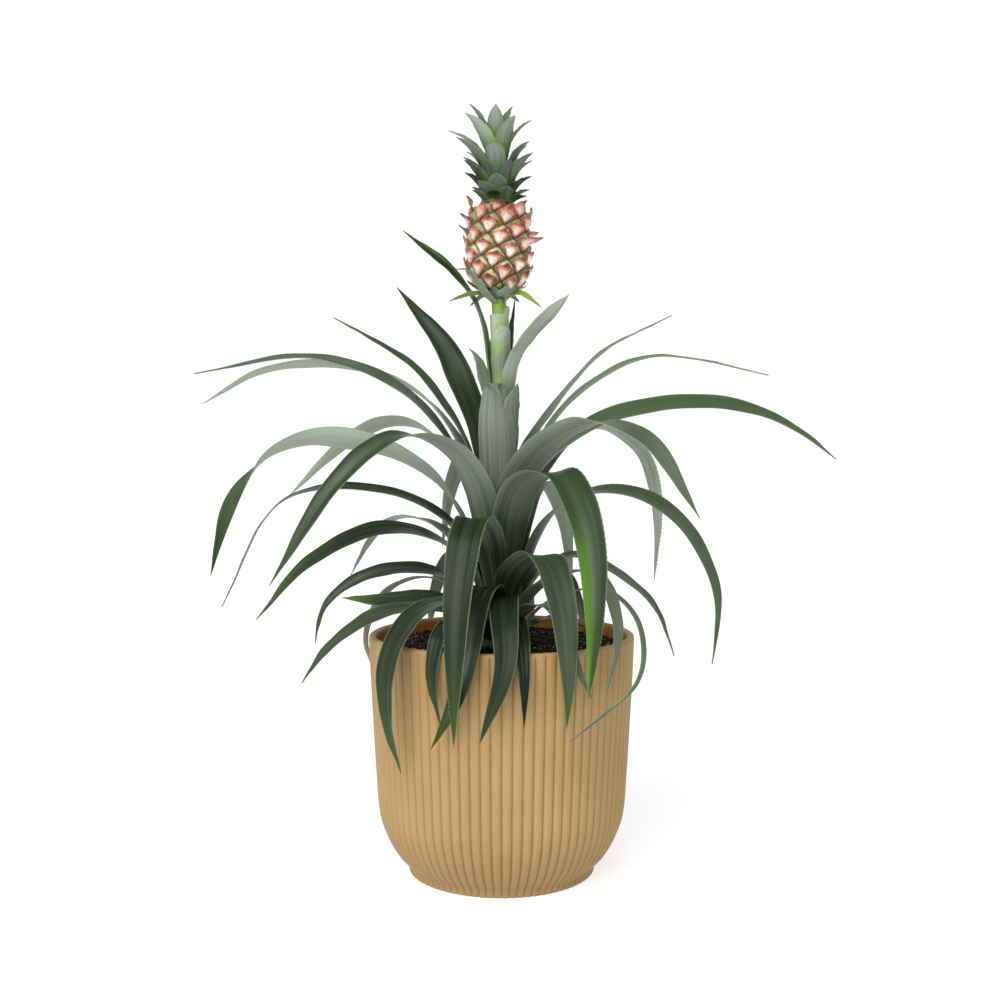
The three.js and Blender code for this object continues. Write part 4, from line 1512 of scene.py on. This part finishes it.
@dataclass
class Crown:
    """The crown of short leaves on a core, leaning a little to the left.

    Attributes:
        base: How high its foot is.
        shift: How far it stands off the pot's axis, to the left where negative.
        lean: How far it leans to the left for each mm of height.
        top: How high its highest leaves reach over its foot.
        core: Radius and height of the core.
        leaves: A row of a CrownLeaf's values for each leaf.
        bend: Where between foot and tip a leaf's bend lies, outwards, sideways and upwards.
        channel: How far the leaves' margins rise over their middle, as a share of their half width.
        belly: How much narrower a leaf is at its foot than in its middle.
        inset: How deep its foot stands in the core.
        paleness: How much paler the highest leaves are than the lowest.
    """

    base: float = 347.1
    shift: float = -1.55
    lean: float = 0.035
    top: float = 52.0
    core: tuple[Row, ...] = ((8.0, 0.0), (8.4, 6.0), (7.2, 15.0), (5.4, 24.0), (2.0, 36.0))
    bend: Row = (0.3, 0.3, 0.7)
    channel: float = 0.34
    belly: float = 0.14
    inset: float = 0.4
    paleness: float = 0.66
    leaves: tuple[Row, ...] = (
        (275, 31, 3.5, 50.5), (95, 31, 3, 51.5), (188, 29, 13.5, 51), (38, 29, 11.5, 52),
        (232, 25, 15, 45, -8), (305, 24, 10.5, 44, 5, 10.5), (5, 25, 18.5, 43.5, 0, 8),
        (172, 22, 25, 38.5, 0, 8), (130, 24, 13, 44), (75, 22, 15, 39), (262, 15.5, 9.5, 29.5, 0, 11, 6),
        (207, 15, 22, 32.5, -2, 10.5), (342, 15, 17.5, 31, 0, 10), (105, 15, 17, 31), (150, 14, 18, 29),
        (28, 15, 18, 32), (330, 9, 21, 24, 0, 10.5), (15, 10, 19, 23.5, 0, 8), (188, 10, 17.5, 23.5),
        (215, 7.5, 20.5, 20, 0, 10), (240, 9, 13, 21, 0, 10), (298, 8, 15, 20, 0, 11), (125, 9, 18, 22),
        (65, 9, 18, 22), (355, 5, 17.5, 14), (200, 4.5, 18, 15), (268, 4, 14.5, 13, 0, 11),
        (318, 3.5, 16, 10, 0, 10), (232, 3, 16, 9.5, 0, 10), (10, 2, 16.5, 8), (175, 2, 13.5, 9),
        (290, 0.8, 15.5, 6.5, 0, 10), (205, 0.8, 14.5, 6, 0, 10), (255, 0.8, 14.5, 4.5),
        (345, 0.8, 15, 3.5), (50, 2, 17, 9), (90, 2, 17, 8), (135, 2, 17, 10),
    )

    def build(self) -> None:
        """Builds the crown."""
        heights = np.linspace(0, 36, 12)
        core = turned("core", np.column_stack([radius_of(self.core, heights), heights]), 24)
        # Painted shade: the core is painted dark so that the gap under the crown reads as shade.
        paint(core, "paint", 0.8, 0.2, 0.0)
        for name, value in (("under", 1.0), ("across", 0.0), ("own", 0.0)):
            paint(core, name, value)
        made = [core] + [self.leaf(number, CrownLeaf(*row)) for number, row in enumerate(self.leaves)]
        crown = join(made, "crown_leaves")
        points = coordinates(crown)
        points[:, 0] += self.shift * MM - self.lean * points[:, 2]
        points[:, 2] += self.base * MM
        place(crown, points)
        finish = BladeFinish(name="crown_blade", gloss=0.46, margin_share=0.25, lining=0.1)
        settle(crown, Slot.CROWN, finish.material())

    def leaf(self, number: int, leaf: CrownLeaf) -> Piece:
        """Makes one leaf of the crown, which rises steeply and then bends outwards to its tip.

        Args:
            number: Its place in the list.
            leaf: Its direction and sizes.

        Returns:
            The leaf.
        """
        foot = np.array([radius_of(self.core, leaf.root) - self.inset, 0.0, leaf.root])
        tip = np.array([leaf.reach, leaf.aside, leaf.height])
        bend = foot + (tip - foot) * np.array(self.bend)
        along = np.linspace(0, 1, 14)[:, None]
        path = (1 - along) ** 2 * foot + 2 * along * (1 - along) * bend + along**2 * tip
        share = along[:, 0]
        belly = 1 - self.belly * (1 - np.sin(share * math.pi))
        halves = leaf.width / 2 * belly * (1 - share**leaf.taper) + 0.04
        shape = BladeShape(24, 11, thickness=0.5, waviness=0.15, fluting=0.06, seed=100 + number)
        blade = shape.build("crown_leaf", rails_from_path(path, halves, leaf.azimuth, self.channel))
        chance = random.Random(number)
        high = leaf.height / self.top
        fresh = (1 - eased(0.08, 0.5, blade.along)) * (0.4 + 0.5 * high) * chance.uniform(0.6, 1.2)
        fresh = np.clip(fresh + (1 - blade.under) * 0.35 * high, 0, 1)
        depth = 0.9 - self.paleness * high + chance.uniform(-0.2, 0.2) + 0.2 * (1 - blade.along)
        paint(blade.piece, "paint", np.clip(depth, 0, 1), fresh, 0.12 + 0.4 * high)
        return blade.piece


@dataclass
class LeafLook(Warp):
    """How one leaf looks, each value from 0 to 1 where it has no unit.

    Attributes:
        depth: How dark its upper face is.
        under: How dark its under face is.
        bloom: How mealy it is.
        foot_fresh: How bright green its foot is.
        tip_fresh: How bright green its outer end is.
        stripe: How bright green the side of its right margin is.
        light: How strong the painted highlight is, a pale area in the middle of its outer half.
        teeth: The length in mm of the spines on its margins.
        foot_to: How far along it its green foot reaches.
        stripe_from: How far along it the stripe begins.
    """

    depth: float = 0.6
    under: float = 0.55
    bloom: float = 0.1
    foot_fresh: float = 0.08
    tip_fresh: float = 0.1
    stripe: float = 0.0
    light: float = 0.0
    teeth: float = 0.0
    foot_to: float = 0.3
    stripe_from: float = 0.25


@dataclass
class Foliage:
    """The long leaves. Each follows its CAD blade, with its own look where the photograph shows one.

    Attributes:
        looks: The look of each leaf by its number; its first values are depth, under and bloom.
        cloud: How strong and how fast the slow change of depth along a leaf is.
        shaded_foot: How much darker the foot is, as painted shade where the leaves crowd together, and
            between which places along the leaf that fades.
        highlight_patch: Where the painted highlight lies along the leaf, how long it is, where across, and
            how wide.
        spine_rows: How many rows at a leaf's foot and at its tip have no spines.
        spine_lean: How far a spine points outwards, and how far towards the leaf's tip.
        spine_size: How long and how thick a spine's foot is.
    """

    cloud: Row = (0.08, 9.0)
    shaded_foot: Row = (0.4, 0.02, 0.3)
    highlight_patch: Row = (0.6, 0.16, 0.1, 0.4)
    spine_rows: tuple[int, int] = (8, 4)
    spine_lean: Row = (0.8, 0.6)
    spine_size: Row = (0.45, 0.25)
    looks: dict[int, LeafLook] = field(default_factory=lambda: {
        1: LeafLook(0.85, 0.65, 0.02, foot_fresh=0.95, stripe=0.3, foot_to=0.5),
        2: LeafLook(0.5, 0.5, foot_fresh=0.3),
        3: LeafLook(under=0.18, bloom=0.6, foot_fresh=0.5, foot_to=0.24),
        4: LeafLook(0.0, 0.12, 1.0, foot_fresh=0.0, widths=((0, 1), (0.5, 1.4), (1, 1.4))),
        5: LeafLook(
            0.4, 0.45, 0.3, foot_fresh=0.0, widths=((0, 1), (0.4, 1.1), (0.8, 1.5), (1, 1.4)),
            aside=((0, 0), (0.4, -1.6), (0.8, -4.6), (1, -5.2)),
        ),
        6: LeafLook(
            0.2, 0.6, 0.6, foot_fresh=0.0,
            widths=(
                (0, 1), (0.35, 1.02), (0.6, 0.98), (0.7, 0.93),
                (0.79, 0.8), (0.84, 0.62), (0.88, 0.4), (1, 0.2),
            ),
            aside=((0, 0), (0.35, -0.5), (0.6, -1.7), (0.79, -1.8), (0.84, -1.6), (0.88, -1.3), (1, -0.4)),
        ),
        7: LeafLook(0.85, 0.65, 0.04, foot_fresh=0.2, light=0.35),
        8: LeafLook(0.0, 0.15, 1.0, widths=((0, 0.8), (0.5, 0.75), (1, 0.8))),
        9: LeafLook(0.6, 0.4, 0.15, widths=((0, 0.9), (0.5, 0.75), (1, 0.6))),
        10: LeafLook(0.3, 0.35, 0.5, light=0.5, teeth=0.6, widths=((0, 1), (0.5, 0.9), (1, 0.7))),
        11: LeafLook(widths=((0, 1), (0.4, 0.5), (1, 0.5)), aside=((0, 0), (0.4, 4), (1, 4))),
        12: LeafLook(0.3, 0.1, 0.6),
        13: LeafLook(0.36, 0.5, 0.15, tip_fresh=0.2, stripe=0.1),
        14: LeafLook(0.6, 0.4, 0.28, light=0.15, widths=((0, 1), (0.6, 0.85), (1, 0.6))),
        15: LeafLook(0.45, 0.42, 0.32),
        16: LeafLook(0.5, 0.12, 0.3),
        17: LeafLook(0.4, 0.15, 0.3, teeth=0.8),
        18: LeafLook(0.76, 0.5, 0.06, tip_fresh=0.12, stripe=0.05, light=0.4),
        20: LeafLook(
            0.62, 0.12, 0.08, tip_fresh=0.15, light=0.1, twist=(-92, 0.62, 0.92),
            widths=((0, 1), (0.75, 1), (0.88, 1.25), (1, 1.3)),
        ),
        21: LeafLook(
            0.68, 0.6, 0.05, tip_fresh=0.15, stripe=0.82, light=0.35, teeth=0.5,
            stripe_from=0.44,
        ),
        22: LeafLook(0.2, 0.35, 0.8),
        23: LeafLook(0.42, 0.55, 0.15, light=0.05),
        24: LeafLook(0.85, 0.35, 0.04, light=0.6, widths=((0, 1), (0.4, 0.8), (1, 0.6))),
        25: LeafLook(0.92, 0.7, 0.02, tip_fresh=0.25, light=0.12, teeth=0.35),
        27: LeafLook(0.82, 0.6, 0.06, tip_fresh=0.2),
        28: LeafLook(0.5, 0.15, 0.3),
        29: LeafLook(0.72, 0.75, 0.12, light=0.1, teeth=0.35),
        31: LeafLook(0.6, 0.5, 0.3),
        32: LeafLook(0.88, 0.45, 0.12, light=0.55),
        34: LeafLook(0.95, 0.85, 0.03, foot_fresh=0.0, tip_fresh=0.2, light=0.75),
        35: LeafLook(0.5, 0.15, 0.2),
        36: LeafLook(0.98, 0.8, 0.04, foot_fresh=0.0),
        38: LeafLook(0.72, 0.65, 0.03, tip_fresh=0.2),
        39: LeafLook(0.4, 0.3, 0.5),
        41: LeafLook(0.55, 0.5, tip_fresh=0.9),
        42: LeafLook(0.3, 0.25, 0.5, widths=((0, 0.7), (1, 0.7))),
        43: LeafLook(0.6, 0.6, 0.1, light=0.1),
        44: LeafLook(0.45, 0.45, 0.35),
        45: LeafLook(1.0, 1.0, 0.0, foot_fresh=0.0, tip_fresh=0.0),
    })

    def build(self) -> None:
        """Builds every leaf."""
        material = BladeFinish().material()
        nodes = sorted(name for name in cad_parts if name.startswith("leaf_"))
        for node in nodes:
            number = int(node.split("_")[1])
            look = self.looks.get(number, self.usual(number, len(nodes)))
            piece = self.leaf(node, number, look)
            settle(piece, Slot.LEAF, material, node)

    def usual(self, number: int, count: int) -> LeafLook:
        """The look of a leaf that has none of its own: darker and glossier low on the stem."""
        low = number / count
        chance = random.Random(number * 7)
        own = chance.uniform(-0.1, 0.1)
        return LeafLook(0.66 + 0.22 * low + own, 0.52 + 0.25 * low + own, 0.09 - 0.06 * low)

    def leaf(self, node: str, number: int, look: LeafLook) -> Piece:
        """Builds one leaf.

        Args:
            node: The CAD node it stands for.
            number: Its number down the stem.
            look: How it looks.

        Returns:
            The leaf.
        """
        shape = BladeShape(seed=number, widths=look.widths, aside=look.aside, twist=look.twist)
        rails = blade_rails(node)
        blade = shape.build(node.replace("leaf", "blade"), rails)
        across, along = blade.across, blade.along
        chance = random.Random(number)
        swing, pace = self.cloud
        wave = swing * np.sin(along * pace + chance.uniform(0, 6))
        # Painted shade: the foot of each leaf is darkened where the leaves crowd round the stem.
        darker, foot_start, foot_end = self.shaded_foot
        foot = darker * (1 - eased(foot_start, foot_end, along))
        depth = np.where(blade.under > 0.5, look.under, look.depth) + wave + foot
        fresh = look.foot_fresh * (1 - eased(look.foot_to * 0.4, look.foot_to, along))
        fresh += look.tip_fresh * eased(0.6, 0.97, along)
        stripe = eased(-0.15, 0.6, across) * eased(look.stripe_from, look.stripe_from + 0.2, along)
        fresh += look.stripe * stripe * (1 - blade.under)
        # Painted highlight: a pale area in the outer half, carried in the bloom channel.
        place_along, length, place_across, breadth = self.highlight_patch
        highlight_patch = np.exp(-(((along - place_along) / length) ** 2) - ((across - place_across) / breadth) ** 2)
        bloom = look.bloom * eased(0.1, 0.35, along) + look.light * highlight_patch
        paint(blade.piece, "paint", *np.clip([depth, fresh, bloom], 0, 1))
        if not look.teeth:
            return blade.piece
        return join([blade.piece, self.spines(shape.surface(rails), look.teeth)], blade.piece.name)

    def spines(self, surface: np.ndarray, length: float) -> Piece:
        """Makes the fine spines along both margins of a leaf, each leaning towards the tip.

        Args:
            surface: The leaf's points by row and column.
            length: The spines' length, in mm.

        Returns:
            The spines as one piece.
        """
        start_fresh()
        bpy.ops.mesh.primitive_cone_add(vertices=4, radius1=1, depth=1, location=(0, 0, 0.5))
        bpy.ops.object.transform_apply(location=True)
        model = bpy.context.object
        frames = []
        skipped, left_out = self.spine_rows
        long, thick = self.spine_size
        for margin, inner in ((0, 1), (-1, -2)):
            for row in range(skipped, len(surface) - left_out):
                root = surface[row, margin]
                steps = np.array([root - surface[row, inner], surface[row + 1, margin] - root])
                outward, onward = unit_rows(steps)
                side = np.cross(outward, onward)
                point = (outward * self.spine_lean[0] + onward * self.spine_lean[1]) * length
                frames.append(np.column_stack([onward * long, side * thick, point, root / MM]) * MM)
        made = copies("spines", model, np.array(frames))
        paint(made, "across", 1.0)
        return made


# The studio


@dataclass
class Studio:
    """A wide pale floor, white light all round with more of it from the front left, and the camera.

    Attributes:
        focal_pixels: The camera's focal length in pixels of the photograph.
        eye: Where the camera stands, in mm.
        pitch: How many degrees it looks down.
        key_aim: The direction in which the key light falls.
        key_spread: How wide the key light is, in degrees.
        bright_to: Up to which height in the sky the light is at its brightest, as the sine of its angle.
        soft_from: From which height it is as weak as overhead.
        side_from: How far to a side it begins to weaken.
        left_end: How strong it is at the far left; the right end says it for the right.
    """

    floor_size: float = 8.0
    focal_pixels: float = 1229.0
    eye: Row = (-0.83, -643.0, 222.5)
    pitch: float = 2.56
    image_pixels: float = 1000.0
    sensor: float = 36.0
    farthest: float = 50.0
    key_aim: Row = (0.5, 1.0, -0.95)
    key_spread: float = 50.0
    key_power: float = 2.6
    bright_to: float = 0.36
    soft_from: float = 0.7
    overhead: float = 0.3
    white: float = 1.1
    left_end: float = 0.65
    right_end: float = 0.45
    side_from: float = 0.45

    def build(self) -> None:
        """Sets the studio up."""
        self.floor()
        self.key_light()
        self.world()
        self.camera()

    def floor(self) -> None:
        """Makes the floor."""
        start_fresh()
        bpy.ops.mesh.primitive_plane_add(size=self.floor_size)
        floor = bpy.context.object
        floor.name = "floor"
        bpy.ops.object.mode_set(mode="EDIT")
        bpy.ops.mesh.subdivide(number_cuts=3)
        bpy.ops.object.mode_set(mode="OBJECT")
        floor.data.materials.append(FloorFinish().material())

    def key_light(self) -> None:
        """Hangs a large soft light far off to the front left."""
        start_fresh()
        bpy.ops.object.light_add(type="SUN")
        lamp = bpy.context.object
        lamp.name = "key_light"
        lamp.data.angle = math.radians(self.key_spread)
        lamp.data.energy = self.key_power
        lamp.rotation_euler = Vector(self.key_aim).to_track_quat("-Z", "Y").to_euler()

    def world(self) -> None:
        """Fills the studio with white light, brightest level with the eye and softer overhead."""
        world = bpy.data.worlds.new("studio")
        world.use_nodes = True
        nodes, links = world.node_tree.nodes, world.node_tree.links
        background = nodes["Background"]
        background.inputs["Color"].default_value = (1.0, 1.0, 1.0, 1.0)
        direction = nodes.new("ShaderNodeTexCoord")
        split = nodes.new("ShaderNodeSeparateXYZ")
        links.new(direction.outputs["Generated"], split.inputs["Vector"])
        strength = None
        for axis, low, high, start, end in (
            ("Z", self.bright_to, self.soft_from, self.white, self.overhead),
            ("X", self.side_from, 1.0, 1.0, self.right_end),
            ("X", -self.side_from, -1.0, 1.0, self.left_end),
        ):
            fall = nodes.new("ShaderNodeMapRange")
            fall.interpolation_type = "SMOOTHSTEP"
            for name, number in (("From Min", low), ("From Max", high), ("To Min", start), ("To Max", end)):
                fall.inputs[name].default_value = number
            links.new(split.outputs[axis], fall.inputs["Value"])
            product = nodes.new("ShaderNodeMath")
            product.operation = "MULTIPLY"
            product.inputs[1].default_value = 1.0
            links.new(fall.outputs["Result"], product.inputs[0])
            if strength is not None:
                links.new(strength, product.inputs[1])
            strength = product.outputs["Value"]
        links.new(strength, background.inputs["Strength"])
        bpy.context.scene.world = world
        bpy.context.scene.view_settings.view_transform = "Standard"

    def camera(self) -> None:
        """Sets the camera up where the photograph was taken from."""
        start_fresh()
        bpy.ops.object.camera_add(location=[value * MM for value in self.eye])
        camera = bpy.context.object
        camera.name = "photo_camera"
        camera.rotation_euler = (math.radians(90 - self.pitch), 0, 0)
        camera.data.sensor_width = self.sensor
        camera.data.lens = self.sensor * self.focal_pixels / self.image_pixels
        camera.data.clip_end = self.farthest
        bpy.context.scene.camera = camera


def main() -> None:
    """Builds the plant's parts and the studio."""
    logging.basicConfig(level=logging.INFO, format="%(message)s")
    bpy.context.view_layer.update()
    Studio().build()
    Pot().build()
    Soil().build()
    Stem().build()
    Fruit().build()
    Crown().build()
    Foliage().build()


if __name__ == "__main__":
    main()
